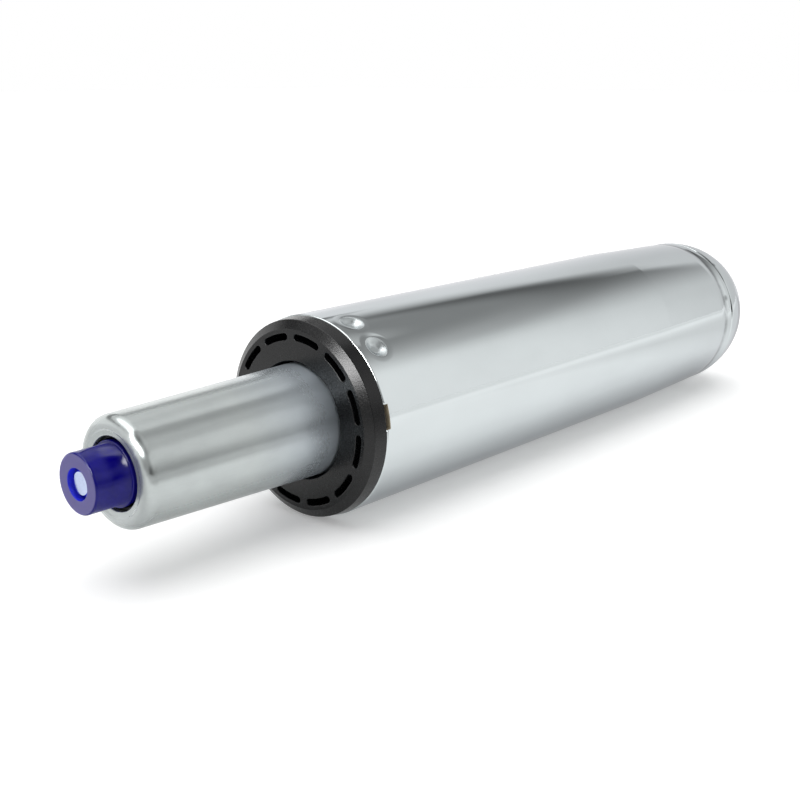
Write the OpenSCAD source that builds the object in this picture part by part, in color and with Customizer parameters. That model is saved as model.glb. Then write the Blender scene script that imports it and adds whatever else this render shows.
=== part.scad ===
// Chair gas lift cylinder, lying on its side as it is shown.
// Each piece is drawn standing on its foot, with z as the height above the foot end,
// and lay_down() then turns it on its side. The column's axis is the Y axis: the release
// button points to -Y and the foot to +Y. The origin is on the axis at the foot end.
// Angles round the axis are measured from straight up towards +X.

/* [Column] */
// Outside diameter of the column
column_od = 50; // [44:0.5:60]
// Wall of the column's tube
column_wall = 1.6; // [1.2:0.1:2.4]
// Length of the column, from the foot end to the rim
column_l = 196; // [185:1:260]
// Half angle of the foot's self-locking taper, in degrees
foot_taper_angle = 1.438; // [0.5:0.001:3]
// Length of the foot's taper
foot_taper_l = 42.5; // [25:0.5:70]
// Height of the rolled end below the taper
foot_roll_h = 22.5; // [16:0.5:26]
// Radius of the rolled end
foot_roll_r = 30; // [28:0.5:36]

/* [Pressed dimples and rim notch] */
// Diameter of each dimple that is pressed into the column
dimple_d = 6.2; // [3:0.1:8]
// Depth of each dimple
dimple_depth = 1.3; // [0.4:0.1:1.4]
// Wall that stays round and under each dimple where the tube is pressed in
dimple_wall = 0.6; // [0.4:0.1:1.2]
// Distance from the rim to the middle of the dimples
dimple_down = 5.9; // [5:0.1:12]
// Angle of the middle of the first pair of dimples
dimple_pair_angle = 29.9; // [0:0.1:360]
// Angle between the two dimples of a pair
dimple_step_angle = 21.4; // [20:0.1:60]
// Number of pairs round the column
dimple_pairs = 2; // [1:1:4]
// Width of the small notch in the rim
notch_w = 5.9; // [2:0.1:10]
// Depth of the notch
notch_depth = 1.1; // [0.5:0.1:2]
// Angle of the notch
notch_angle = 79.7; // [60:0.1:180]

/* [Guide sleeve] */
// Height of the collar above the column's rim
collar_h = 5; // [3:0.1:8]
// Height of the chamfer round the collar's face
collar_chamfer_h = 1.4; // [0.4:0.1:2.5]
// Width of the chamfer round the collar's face
collar_chamfer_w = 2.1; // [0.5:0.1:3]
// Length of the sleeve inside the column
sleeve_l = 95; // [75:1:110]
// Length of each band that guides the pressure tube
band_l = 22; // [10:1:30]
// How much wider the bore is between the two guide bands, on the radius
band_relief = 0.6; // [0.3:0.1:1.5]
// How much wider the mouth of the bore is, on the radius
mouth_relief = 0.5; // [0.3:0.05:1]
// Height over which the mouth narrows to the guide band
mouth_h = 5; // [2:0.5:8]
// Number of arc slots moulded into the collar's face
slot_count = 12; // [6:1:14]
// Distance from the column's inner wall to the middle of the slots
slot_inset = 3; // [2.2:0.1:4]
// Width of each slot
slot_w = 1.7; // [0.8:0.1:2.4]
// Angle that each slot spans
slot_span_angle = 23.5; // [8:0.5:24]
// Depth of the slots
slot_depth = 25; // [3:1:40]
// Angle of the middle of the first slot
slot_first_angle = 10.5; // [0:0.5:30]

/* [Pressure tube] */
// Outside diameter of the pressure tube
tube_od = 28; // [26:0.5:29]
// Wall of the pressure tube
tube_wall = 1.5; // [1:0.1:1.8]
// How far the pressure tube stands above the column's rim when it is down
tube_out = 57.9; // [48:0.1:70]
// Half angle of the seat's self-locking taper, in degrees
seat_taper_angle = 1.438; // [0.5:0.001:1.8]
// Radius of the rounded end of the taper
tube_end_round = 2.5; // [1.6:0.1:3.4]
// Diameter of the opening in the rounded end
tube_end_hole_d = 16.4; // [16:0.1:18]
// Diameter of the opening in the rolled lower end
tube_low_hole_d = 18; // [13:0.5:20]
// Travel of the lift
stroke = 100; // [60:5:110]

/* [Inner tube] */
// Width of the flow channel between the pressure tube and the inner tube
channel_w = 2.25; // [1.8:0.05:3]
// Wall of the inner tube
inner_wall = 1; // [0.6:0.1:1.2]
// Diameter of the flow holes near the inner tube's lower end
flow_hole_d = 2.4; // [1:0.1:3]
// Number of flow holes
flow_hole_count = 3; // [2:1:6]

/* [Piston rod and piston] */
// Diameter of the piston rod
rod_d = 10; // [9:0.5:11]
// Diameter of the rod's foot, which goes through the bearing
rod_foot_d = 8; // [7:0.5:8.5]
// Height of the rod's lower end above the foot end
rod_end_up = 0.8; // [0.2:0.1:2]
// Length of the rod below the retaining clip
rod_nose = 1.6; // [1:0.1:3]
// Depth of the clip's groove, on the radius
clip_groove = 0.9; // [0.5:0.1:1.2]
// Diameter of the rod's head, which carries the piston
rod_head_d = 7; // [6:0.5:7.5]
// Height of the rivet that closes the rod's head
rivet_h = 1; // [0.5:0.1:1.5]
// Diameter of the rivet
rivet_d = 9; // [8:0.5:11]
// Height of the piston
piston_h = 14; // [8:0.5:18]
// Space between the rod's top and the valve body
top_space = 11.4; // [7:0.1:20]
// Space that is left under the piston when the lift is all the way up
low_space = 4.2; // [3:0.1:10]
// Thickness of the washers above and below the piston
piston_washer_t = 1.1; // [0.6:0.1:2]
// Height of the piston ring
piston_ring_h = 2.6; // [1.2:0.1:4]
// Depth of the piston ring, on the radius
piston_ring_w = 1.6; // [0.8:0.1:2.5]
// Bevel of the piston's edges
piston_bevel = 0.4; // [0.1:0.1:1]
// Bevel of the ends of the rod and the valve pin
rod_bevel = 0.4; // [0.1:0.1:0.8]

/* [Foot bearing] */
// Thickness of the retaining clip
clip_t = 1.2; // [0.8:0.1:1.4]
// Outside diameter of the retaining clip
clip_od = 15; // [12:0.5:20]
// Angle that the clip leaves open
clip_open_angle = 70; // [40:5:120]
// Thickness of the washer above the clip
foot_washer_t = 1.2; // [0.8:0.1:2]
// Outside diameter of the washer above the clip
foot_washer_od = 19; // [16:0.5:21]
// Thickness of the base plate
base_plate_t = 4; // [2.5:0.5:5]
// Thickness of each bearing race
race_t = 2.5; // [2:0.1:4]
// Outside diameter of the bearing races
race_od = 25; // [23:0.5:30]
// Diameter of the bearing's balls
ball_d = 4.8; // [4:0.1:5]
// Diameter of the circle that the balls run on
ball_circle_d = 17; // [16.5:0.1:18]
// Number of balls
ball_count = 9; // [6:1:10]
// Depth of the ball groove in each race
groove_depth = 0.9; // [0.5:0.1:1.2]
// Thickness of the ball cage
cage_t = 1.6; // [1:0.1:2]
// Width of the ball cage's ring beyond the balls
cage_edge = 1; // [0.5:0.1:1.5]
// Bevel of the races' outer edges
race_bevel = 0.3; // [0.1:0.05:0.6]

/* [Bumper] */
// Thickness of the washer under the bumper
bumper_washer_t = 1.5; // [1:0.1:3]
// Outside diameter of the washer under the bumper
bumper_washer_od = 26; // [22:0.5:30]
// Outside diameter of the bumper
bumper_od = 24; // [20:0.5:27]
// Height of the bumper
bumper_h = 20; // [12:0.5:28]
// Depth of the rounded waist of the bumper, on the radius
bumper_waist = 1.5; // [0.5:0.1:3]

/* [Rod guide] */
// Thickness of the washer in the rolled lower end
end_washer_t = 2; // [1:0.1:3]
// Height of the wiper
wiper_h = 6; // [3:0.5:10]
// Height of the rod seal
seal_h = 7; // [4:0.5:10]
// Height of the centring ring
centring_h = 6; // [4:0.5:8]
// Depth of the centring ring's seat for the inner tube
centring_seat = 3; // [1.5:0.5:3.5]
// Bevel of the rod guide's edges
guide_bevel = 0.3; // [0.1:0.1:1]
// Thickness of each round sealing ring
o_ring_t = 2.4; // [1.6:0.1:2.6]

/* [Valve] */
// Space between the valve body and the narrow end of the pressure tube's taper
valve_gap = 0.32; // [0.1:0.01:0.6]
// Length of the valve body
valve_l = 24.5; // [24:0.5:32]
// Length of the valve body's spigot, which the inner tube goes over
valve_spigot_l = 4; // [2:0.5:4.5]
// Diameter of the valve pin
pin_d = 6.4; // [5.6:0.1:6.8]
// Width of the shoulder that the button stands on, on the radius
pin_shoulder = 0.3; // [0.2:0.05:0.5]
// Depth of the valve pin's neck, on the radius
pin_neck_w = 1.1; // [0.5:0.1:1.4]
// How far the valve pin's head stands out, on the radius
pin_head_w = 1.1; // [0.6:0.1:1.4]
// Bevel under the valve pin's head
pin_head_bevel = 0.7; // [0.2:0.1:1]
// Height of the valve pin's head
pin_head_h = 2.2; // [1.2:0.1:2.6]
// Height of the pocket that the head closes in
head_pocket_h = 3; // [2.8:0.1:4]
// Thickness of the seat above the head's pocket
seat_t = 1.6; // [1:0.1:2.5]
// Height of the flow chamber above the seat
chamber_h = 7.5; // [6.5:0.5:8]
// Space round the valve pin in the flow chamber
chamber_w = 0.9; // [0.5:0.1:1.4]
// Diameter of the two flow ports
port_d = 2; // [1:0.1:2.4]
// Height of the pin's seal
pin_seal_h = 3.4; // [2:0.1:3.4]
// Width of the pin's seal, on the radius
pin_seal_w = 2.7; // [1.8:0.1:3.2]

/* [Release button] */
// Diameter of the button
button_d = 13.4; // [10:0.1:14]
// How far the button stands above the end of the pressure tube
button_out = 8.5; // [6:0.1:14]
// Space between the button's skirt and the opening that it stands in
skirt_gap = 0.85; // [0.3:0.05:1.5]
// Height of the button's skirt
skirt_h = 1.4; // [0.8:0.1:2]
// Diameter of the hole in the button's face
button_hole_d = 6.9; // [6.9:0.1:8]
// Depth of the wide part of the hole
button_hole_depth = 2.5; // [1.8:0.1:5]
// Depth at which the end of the valve pin shows in the hole
pin_end_depth = 0.9; // [0.5:0.1:1.8]
// Rounding of the button's edge
button_edge = 0.6; // [0.2:0.1:1.2]
// Travel of the button
button_travel = 4.5; // [3:0.1:4.5]

/* [Clearances] */
// Radial clearance of the pieces that slide or turn in each other
slide_fit = 0.08; // [0.02:0.01:0.1]
// Clearance of the pieces that are fixed in each other
seat_fit = 0.05; // [0.02:0.01:0.1]
// Gap between faces that turn past each other
face_gap = 0.1; // [0.05:0.01:0.3]
// Gap between the balls and their grooves and cage
ball_gap = 0.12; // [0.05:0.01:0.3]
// Gap between the pressure tube and the bumper when the lift is down
bumper_gap = 0.3; // [0.1:0.1:1]
// Space round pieces that pass each other loosely
loose_gap = 0.3; // [0.2:0.05:0.6]

/* [Hidden] */
$fn = 96;
roll_steps = 14;
round_steps = 6;
wave_steps = 12;
// How far a cut runs past the surface that it opens
cut_over = 1;

// Column, from the foot end up
column_r = column_od / 2;
column_in_r = column_r - column_wall;
taper_end_z = foot_roll_h;
taper_start_z = foot_roll_h + foot_taper_l;
taper_end_r = column_r - foot_taper_l * tan(foot_taper_angle);
roll_mid_r = taper_end_r - foot_roll_r * cos(foot_taper_angle);
roll_mid_z = taper_end_z + foot_roll_r * sin(foot_taper_angle);
rim_z = column_l;
dimple_z = rim_z - dimple_down;
boss_r = dimple_d / 2 + dimple_wall;
boss_in_r = column_in_r - dimple_depth;

// Foot bearing, from the foot end up
clip_z = rod_end_up + rod_nose;
foot_washer_z = clip_z + clip_t + face_gap;
base_plate_z = foot_washer_z + foot_washer_t + face_gap;
race_low_z = base_plate_z + base_plate_t;
groove_floor_z = race_low_z + race_t - groove_depth;
ball_z = groove_floor_z + ball_gap + ball_d / 2;
race_up_z = ball_z + ball_d / 2 + ball_gap - groove_depth;
rod_shoulder_z = race_up_z + race_t + face_gap;
bumper_washer_z = rod_shoulder_z;
bumper_z = bumper_washer_z + bumper_washer_t + seat_fit;
bumper_top_z = bumper_z + bumper_h;

// Pressure tube and what its ends hold
tube_r = tube_od / 2;
tube_in_r = tube_r - tube_wall;
tube_low_z = bumper_top_z + bumper_gap;
tube_top_z = rim_z + tube_out;
end_washer_z = tube_low_z + tube_wall + seat_fit;
wiper_z = end_washer_z + end_washer_t + seat_fit;
seal_z = wiper_z + wiper_h + seat_fit;
rod_guide_z = seal_z + seal_h + seat_fit;
valve_top_z = tube_top_z - tube_wall - face_gap;
valve_low_z = valve_top_z - valve_l;

// Piston, from the top of the rod down
rod_top_z = valve_low_z - top_space;
piston_top_z = rod_top_z - rivet_h - piston_washer_t - seat_fit;
piston_z = piston_top_z - piston_h;
piston_washer_z = piston_z - seat_fit - piston_washer_t;
centring_top_z = piston_washer_z - stroke - low_space;
centring_z = centring_top_z - centring_h;
rod_guide_l = centring_z - seat_fit - rod_guide_z;
inner_out_r = tube_in_r - channel_w;
inner_r = inner_out_r - inner_wall;
inner_low_z = centring_top_z - centring_seat + seat_fit;
inner_top_z = valve_low_z + valve_spigot_l - seat_fit;
piston_r = inner_r - slide_fit;

// Button
end_hole_r = tube_end_hole_d / 2;
skirt_r = end_hole_r - skirt_gap;
skirt_z = tube_top_z - skirt_h;
button_top_z = tube_top_z + button_out;
hole_floor_z = button_top_z - button_hole_depth;
pin_top_z = button_top_z - pin_end_depth;
pin_r = pin_d / 2;
pin_end_r = pin_r - pin_shoulder;

// Valve, from its lower end up
pocket_top_z = valve_low_z + head_pocket_h;
seat_top_z = pocket_top_z + seat_t;
chamber_top_z = seat_top_z + chamber_h;
seal_floor_z = chamber_top_z + seat_t;
well_z = skirt_z - button_travel - 2 * loose_gap;
pin_head_z = pocket_top_z - face_gap - pin_head_h;
pin_neck_top_z = chamber_top_z - face_gap;
well_r = skirt_r + loose_gap;

// Turns a piece that stands on the foot end on its side
module lay_down() {
    rotate([90, 0, 0])
        children();
}

// Turns a piece that points along +y to an angle from straight up
module at_angle(angle) {
    rotate([0, 0, -angle])
        children();
}

// A round piece from a profile of [radius, height] points
module turned(profile) {
    rotate_extrude()
        polygon(profile);
}

// A plain ring or washer
module ring(out_r, in_r, z, h) {
    turned([[in_r, z], [out_r, z], [out_r, z + h], [in_r, z + h]]);
}

// A ring with both edges of its outside bevelled
module bevelled_ring(out_r, in_r, z, h, bevel) {
    turned([[in_r, z], [out_r - bevel, z], [out_r, z + bevel], [out_r, z + h - bevel],
        [out_r - bevel, z + h], [in_r, z + h]]);
}

// A round sealing ring
module o_ring(out_r, z, t) {
    translate([0, 0, z])
        rotate_extrude()
            translate([out_r - t / 2, 0])
                circle(d = t);
}

// A groove in the outside of a round piece
module groove(out_r, floor_r, z, h) {
    ring(out_r + cut_over, floor_r, z, h);
}

// Points of the column's side, from the foot end up, at a depth below its outer surface
function roll_end_angle(depth) = asin(roll_mid_z / (foot_roll_r - depth));
function column_side(depth) = concat(
    [for (i = [0 : roll_steps])
        let (end = roll_end_angle(depth), t = end - (end - foot_taper_angle) * i / roll_steps)
        [roll_mid_r + (foot_roll_r - depth) * cos(t), roll_mid_z - (foot_roll_r - depth) * sin(t)]],
    [[column_r - depth, taper_start_z]]);

// Radius of the rolled end at a height, at a depth below its outer surface
function roll_r(z, depth) = roll_mid_r + sqrt(pow(foot_roll_r - depth, 2) - pow(roll_mid_z - z, 2));

// Angles of all the dimples
function dimple_angles() = [for (pair = [0 : dimple_pairs - 1], side = [-1, 1])
    dimple_pair_angle + pair * 360 / dimple_pairs + side * dimple_step_angle / 2];

// Radius of the seat's taper at a height
function seat_r(z) = tube_r - max(z - rim_z, 0) * tan(seat_taper_angle);

// Reverses a list of points
function back(points) = [for (i = [len(points) - 1 : -1 : 0]) points[i]];

// Column

module column_tube() {
    color("gainsboro")
        lay_down()
            difference() {
                union() {
                    turned(concat(
                        column_side(0),
                        [[column_r, rim_z], [column_in_r, rim_z]],
                        back(column_side(column_wall))));
                    for (angle = dimple_angles())
                        at_angle(angle)
                            dimple_plug(boss_r, boss_in_r, column_in_r + column_wall / 2);
                }
                for (angle = dimple_angles())
                    at_angle(angle)
                        dimple_plug(dimple_d / 2, column_r - dimple_depth, column_r + cut_over);
                at_angle(notch_angle)
                    translate([-notch_w / 2, column_in_r - cut_over, rim_z - notch_depth])
                        cube([notch_w, column_wall + 2 * cut_over, notch_depth + cut_over]);
            }
}

// A short round plug that lies across the wall at the height of the dimples
module dimple_plug(radius, from_r, to_r) {
    translate([0, to_r, dimple_z])
        rotate([90, 0, 0])
            cylinder(r = radius, h = to_r - from_r);
}

module base_plate() {
    edge = [for (i = [0 : round_steps])
        let (z = base_plate_z + base_plate_t * i / round_steps)
        [roll_r(z, column_wall) - seat_fit, z]];
    hole_r = rod_foot_d / 2 + slide_fit;
    color("dimgray")
        lay_down()
            turned(concat(
                edge,
                [[hole_r, base_plate_z + base_plate_t], [hole_r, base_plate_z]]));
}

module guide_sleeve() {
    out_r = column_in_r - seat_fit;
    bore_r = tube_r + slide_fit;
    low_z = rim_z - sleeve_l;
    face_z = rim_z + collar_h;
    color([0.05, 0.05, 0.06])
        lay_down()
            difference() {
                turned([
                    [bore_r, low_z],
                    [out_r, low_z],
                    [out_r, rim_z],
                    [column_r, rim_z],
                    [column_r, face_z - collar_chamfer_h],
                    [column_r - collar_chamfer_w, face_z],
                    [bore_r + mouth_relief, face_z],
                    [bore_r, face_z - mouth_h],
                    [bore_r, face_z - mouth_h - band_l],
                    [bore_r + band_relief, face_z - mouth_h - band_l - band_relief],
                    [bore_r + band_relief, low_z + band_l + band_relief],
                    [bore_r, low_z + band_l]]);
                for (i = [0 : slot_count - 1])
                    at_angle(slot_first_angle + i * 360 / slot_count)
                        arc_slot(face_z);
                for (angle = dimple_angles())
                    at_angle(angle)
                        dimple_plug(boss_r + loose_gap, boss_in_r - loose_gap, column_r);
            }
}

// One arc slot with round ends in the collar's face, with its middle straight up
module arc_slot(face_z) {
    mid_r = column_in_r - slot_inset;
    half_angle = slot_span_angle / 2 - asin(slot_w / 2 / mid_r);
    far = 2 * mid_r;
    translate([0, 0, face_z - slot_depth])
        linear_extrude(slot_depth + cut_over) {
            intersection() {
                difference() {
                    circle(r = mid_r + slot_w / 2);
                    circle(r = mid_r - slot_w / 2);
                }
                polygon([[0, 0], [-far * sin(half_angle), far * cos(half_angle)],
                    [far * sin(half_angle), far * cos(half_angle)]]);
            }
            for (side = [-1, 1])
                at_angle(side * half_angle)
                    translate([0, mid_r])
                        circle(d = slot_w);
        }
}

// Foot bearing

// The groove that the balls run in
module ball_groove(z) {
    translate([0, 0, z])
        rotate_extrude()
            translate([ball_circle_d / 2, 0])
                circle(r = ball_d / 2 + ball_gap);
}

module lower_race() {
    color("silver")
        lay_down()
            difference() {
                bevelled_ring(race_od / 2, rod_foot_d / 2 + loose_gap, race_low_z, race_t, race_bevel);
                ball_groove(ball_z);
            }
}

module upper_race() {
    color("silver")
        lay_down()
            difference() {
                bevelled_ring(race_od / 2, rod_foot_d / 2 + seat_fit, race_up_z, race_t, race_bevel);
                ball_groove(ball_z);
            }
}

module ball_cage() {
    band = ball_d / 2 + cage_edge;
    color("goldenrod")
        lay_down()
            difference() {
                ring(ball_circle_d / 2 + band, ball_circle_d / 2 - band, ball_z - cage_t / 2, cage_t);
                at_balls()
                    cylinder(r = ball_d / 2 + ball_gap, h = 2 * cage_t, center = true);
            }
}

module bearing_balls() {
    color("silver")
        lay_down()
            at_balls()
                sphere(d = ball_d);
}

// Puts a copy at each ball's place
module at_balls() {
    for (i = [0 : ball_count - 1])
        at_angle(i * 360 / ball_count)
            translate([0, ball_circle_d / 2, ball_z])
                children();
}

module foot_washer() {
    color("silver")
        lay_down()
            ring(foot_washer_od / 2, rod_foot_d / 2 + seat_fit, foot_washer_z, foot_washer_t);
}

module retaining_clip() {
    in_r = rod_foot_d / 2 - clip_groove + seat_fit;
    color("dimgray")
        lay_down()
            translate([0, 0, clip_z])
                rotate([0, 0, 90 + clip_open_angle / 2])
                    rotate_extrude(angle = 360 - clip_open_angle)
                        translate([in_r, 0])
                            square([clip_od / 2 - in_r, clip_t]);
}

// Bumper

module bumper_washer() {
    color("silver")
        lay_down()
            ring(bumper_washer_od / 2, rod_d / 2 + seat_fit, bumper_washer_z, bumper_washer_t);
}

module rubber_bumper() {
    in_r = rod_d / 2 + slide_fit;
    side = [for (i = [0 : wave_steps])
        [bumper_od / 2 - bumper_waist * sin(180 * i / wave_steps), bumper_z + bumper_h * i / wave_steps]];
    color([0.1, 0.1, 0.1])
        lay_down()
            turned(concat(side, [[in_r, bumper_top_z], [in_r, bumper_z]]));
}

// Piston rod and piston

module piston_rod() {
    foot_r = rod_foot_d / 2;
    groove_r = foot_r - clip_groove;
    head_r = rod_head_d / 2;
    color("silver")
        lay_down()
            turned([
                [0, rod_end_up],
                [foot_r - rod_bevel, rod_end_up],
                [foot_r, rod_end_up + rod_bevel],
                [foot_r, clip_z - seat_fit],
                [groove_r, clip_z - seat_fit],
                [groove_r, clip_z + clip_t + seat_fit],
                [foot_r, clip_z + clip_t + seat_fit],
                [foot_r, rod_shoulder_z],
                [rod_d / 2, rod_shoulder_z],
                [rod_d / 2, piston_washer_z - seat_fit],
                [head_r, piston_washer_z - seat_fit],
                [head_r, rod_top_z - rivet_h],
                [rivet_d / 2, rod_top_z - rivet_h],
                [head_r, rod_top_z],
                [0, rod_top_z]]);
}

module piston() {
    middle_z = piston_z + piston_h / 2;
    color("goldenrod")
        lay_down()
            difference() {
                bevelled_ring(piston_r, rod_head_d / 2 + seat_fit, piston_z, piston_h, piston_bevel);
                groove(piston_r, piston_r - piston_ring_w - seat_fit,
                    middle_z - piston_ring_h / 2 - seat_fit, piston_ring_h + 2 * seat_fit);
            }
}

module piston_ring() {
    middle_z = piston_z + piston_h / 2;
    color([0.1, 0.1, 0.1])
        lay_down()
            bevelled_ring(piston_r, piston_r - piston_ring_w, middle_z - piston_ring_h / 2,
                piston_ring_h, slide_fit);
}

module piston_washers() {
    color("silver")
        lay_down()
            for (z = [piston_washer_z, piston_top_z + seat_fit])
                ring(piston_r - 2 * loose_gap, rod_head_d / 2 + seat_fit, z, piston_washer_t);
}

// Pressure tube

module pressure_tube() {
    low_hole_r = tube_low_hole_d / 2;
    low_round = tube_wall;
    round_z = tube_top_z - tube_end_round;
    round_r = seat_r(round_z) - tube_end_round;
    low_edge = [for (i = [0 : round_steps])
        let (t = 90 * i / round_steps)
        [tube_r - low_round + low_round * sin(t), tube_low_z + low_round - low_round * cos(t)]];
    top_edge = [for (i = [0 : round_steps])
        let (t = 90 * i / round_steps)
        [round_r + tube_end_round * cos(t), round_z + tube_end_round * sin(t)]];
    in_step = tube_end_round - tube_wall;
    color([0.72, 0.71, 0.69])
        lay_down()
            turned(concat(
                [[low_hole_r, tube_low_z]],
                low_edge,
                [[tube_r, rim_z]],
                top_edge,
                [[end_hole_r, tube_top_z],
                [end_hole_r, tube_top_z - tube_wall],
                [seat_r(round_z) - tube_wall - in_step, tube_top_z - tube_wall],
                [seat_r(round_z) - tube_wall, round_z],
                [tube_in_r, rim_z],
                [tube_in_r, tube_low_z + tube_wall],
                [low_hole_r, tube_low_z + tube_wall]]));
}

module inner_tube() {
    hole_z = centring_top_z + flow_hole_d;
    color("silver")
        lay_down()
            difference() {
                ring(inner_out_r, inner_r, inner_low_z, inner_top_z - inner_low_z);
                for (i = [0 : flow_hole_count - 1])
                    at_angle(i * 360 / flow_hole_count)
                        translate([0, inner_out_r + cut_over, hole_z])
                            rotate([90, 0, 0])
                                cylinder(d = flow_hole_d, h = inner_wall + 2 * cut_over);
            }
}

module centring_ring() {
    out_r = tube_in_r - seat_fit;
    cup_r = inner_out_r + seat_fit;
    floor_z = centring_top_z - centring_seat;
    rod_hole_r = rod_d / 2 + loose_gap;
    color("goldenrod")
        lay_down()
            turned([
                [rod_hole_r, centring_z],
                [out_r, centring_z],
                [out_r, centring_z + centring_h / 3],
                [cup_r + inner_wall / 2, centring_top_z],
                [cup_r, centring_top_z],
                [cup_r, floor_z],
                [rod_hole_r, floor_z]]);
}

module rod_guide() {
    out_r = tube_in_r - seat_fit;
    ring_z = rod_guide_z + o_ring_t;
    color("goldenrod")
        lay_down()
            difference() {
                bevelled_ring(out_r, rod_d / 2 + slide_fit, rod_guide_z, rod_guide_l, guide_bevel);
                groove(out_r, out_r - o_ring_t, ring_z, o_ring_t + 2 * seat_fit);
            }
}

module guide_o_ring() {
    color([0.1, 0.1, 0.1])
        lay_down()
            o_ring(tube_in_r - seat_fit, rod_guide_z + 1.5 * o_ring_t + seat_fit, o_ring_t - seat_fit);
}

module rod_seal() {
    out_r = tube_in_r - seat_fit;
    in_r = rod_d / 2 + slide_fit;
    lip = (out_r - in_r) / 4;
    color([0.1, 0.1, 0.1])
        lay_down()
            turned([
                [in_r, seal_z],
                [out_r, seal_z],
                [out_r, seal_z + seal_h],
                [out_r - lip, seal_z + seal_h],
                [out_r - 2 * lip, seal_z + seal_h / 2],
                [in_r + lip, seal_z + seal_h],
                [in_r, seal_z + seal_h]]);
}

module rod_wiper() {
    color("dimgray")
        lay_down()
            ring(tube_in_r - seat_fit, rod_d / 2 + slide_fit, wiper_z, wiper_h);
}

module end_washer() {
    color("silver")
        lay_down()
            ring(tube_in_r - seat_fit, rod_d / 2 + loose_gap, end_washer_z, end_washer_t);
}

// Valve and button

// Heights of the two sealing rings on the valve body
function valve_ring_heights() = [valve_low_z + valve_l * 0.5, valve_low_z + valve_l * 0.75];

// Outer radius of a sealing ring that reaches the tapered wall at a height
function valve_ring_r(z) = seat_r(z + o_ring_t / 2) - tube_wall - seat_fit;

module valve_body() {
    body_r = seat_r(tube_top_z - tube_end_round) - tube_wall - valve_gap;
    spigot_r = inner_r - seat_fit;
    pin_hole_r = pin_r + slide_fit;
    chamber_r = pin_r + chamber_w;
    seal_r = pin_r + pin_seal_w;
    pocket_r = pin_r + pin_head_w + loose_gap;
    port_z = (seat_top_z + chamber_top_z) / 2;
    bevel = tube_end_round - tube_wall;
    color([0.12, 0.12, 0.13])
        lay_down()
            difference() {
                turned([
                    [pocket_r, valve_low_z],
                    [spigot_r, valve_low_z],
                    [spigot_r, valve_low_z + valve_spigot_l],
                    [body_r, valve_low_z + valve_spigot_l],
                    [body_r, valve_top_z - bevel],
                    [body_r - bevel, valve_top_z],
                    [well_r, valve_top_z],
                    [well_r, well_z],
                    [seal_r, well_z],
                    [seal_r, seal_floor_z],
                    [pin_hole_r, seal_floor_z],
                    [pin_hole_r, chamber_top_z],
                    [chamber_r, chamber_top_z],
                    [chamber_r, seat_top_z],
                    [pin_hole_r, seat_top_z],
                    [pin_hole_r, pocket_top_z],
                    [pocket_r, pocket_top_z]]);
                for (z = valve_ring_heights())
                    groove(body_r, valve_ring_r(z) - o_ring_t - seat_fit,
                        z - o_ring_t / 2 - seat_fit, o_ring_t + 2 * seat_fit);
                translate([0, 0, port_z])
                    rotate([90, 0, 0])
                        cylinder(d = port_d, h = 2 * tube_od, center = true);
            }
}

module valve_o_rings() {
    color([0.1, 0.1, 0.1])
        lay_down()
            for (z = valve_ring_heights())
                o_ring(valve_ring_r(z), z, o_ring_t);
}

module pin_seal() {
    color([0.1, 0.1, 0.1])
        lay_down()
            ring(pin_r + pin_seal_w - seat_fit, pin_r + slide_fit, seal_floor_z + seat_fit, pin_seal_h);
}

module seal_retainer() {
    low_z = seal_floor_z + pin_seal_h + 2 * seat_fit;
    color("goldenrod")
        lay_down()
            ring(pin_r + pin_seal_w - seat_fit, pin_r + slide_fit, low_z, well_z - low_z);
}

module valve_pin() {
    neck_r = pin_r - pin_neck_w;
    head_r = pin_r + pin_head_w;
    shoulder_z = skirt_z - seat_fit;
    color("silver")
        lay_down()
            turned([
                [0, pin_head_z],
                [head_r - pin_head_bevel, pin_head_z],
                [head_r, pin_head_z + pin_head_bevel],
                [head_r, pin_head_z + pin_head_h],
                [neck_r, pin_head_z + pin_head_h],
                [neck_r, pin_neck_top_z - (pin_r - neck_r)],
                [pin_r, pin_neck_top_z],
                [pin_r, shoulder_z],
                [pin_end_r, shoulder_z],
                [pin_end_r, pin_top_z - rod_bevel],
                [pin_end_r - rod_bevel, pin_top_z],
                [0, pin_top_z]]);
}

module release_button() {
    socket_r = pin_end_r + seat_fit;
    hole_r = button_hole_d / 2;
    edge_r = button_d / 2 - button_edge;
    edge_z = button_top_z - button_edge;
    edge = [for (i = [0 : round_steps])
        let (t = 90 * i / round_steps)
        [edge_r + button_edge * cos(t), edge_z + button_edge * sin(t)]];
    color([0.25, 0.22, 0.62])
        lay_down()
            turned(concat(
                [[socket_r, skirt_z],
                [skirt_r, skirt_z],
                [skirt_r, skirt_z + skirt_h],
                [button_d / 2, skirt_z + skirt_h]],
                edge,
                [[hole_r, button_top_z],
                [hole_r, hole_floor_z],
                [socket_r, hole_floor_z]]));
}

column_tube();
base_plate();
guide_sleeve();
lower_race();
ball_cage();
bearing_balls();
piston_rod();
upper_race();
bumper_washer();
rubber_bumper();
foot_washer();
retaining_clip();
piston();
piston_ring();
piston_washers();
pressure_tube();
inner_tube();
centring_ring();
rod_guide();
guide_o_ring();
rod_seal();
rod_wiper();
end_washer();
valve_body();
valve_o_rings();
pin_seal();
seal_retainer();
valve_pin();
release_button();
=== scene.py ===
"""Chair gas lift cylinder lying on a pale studio floor: its detailed pieces, finishes, light and camera.

The axis of the column is the Y axis, the release button points to -Y and the foot to +Y.
A height is measured along the axis from the foot end, so that y = -height.
An angle round the axis is measured from straight up towards +X.
"""
import math

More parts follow.
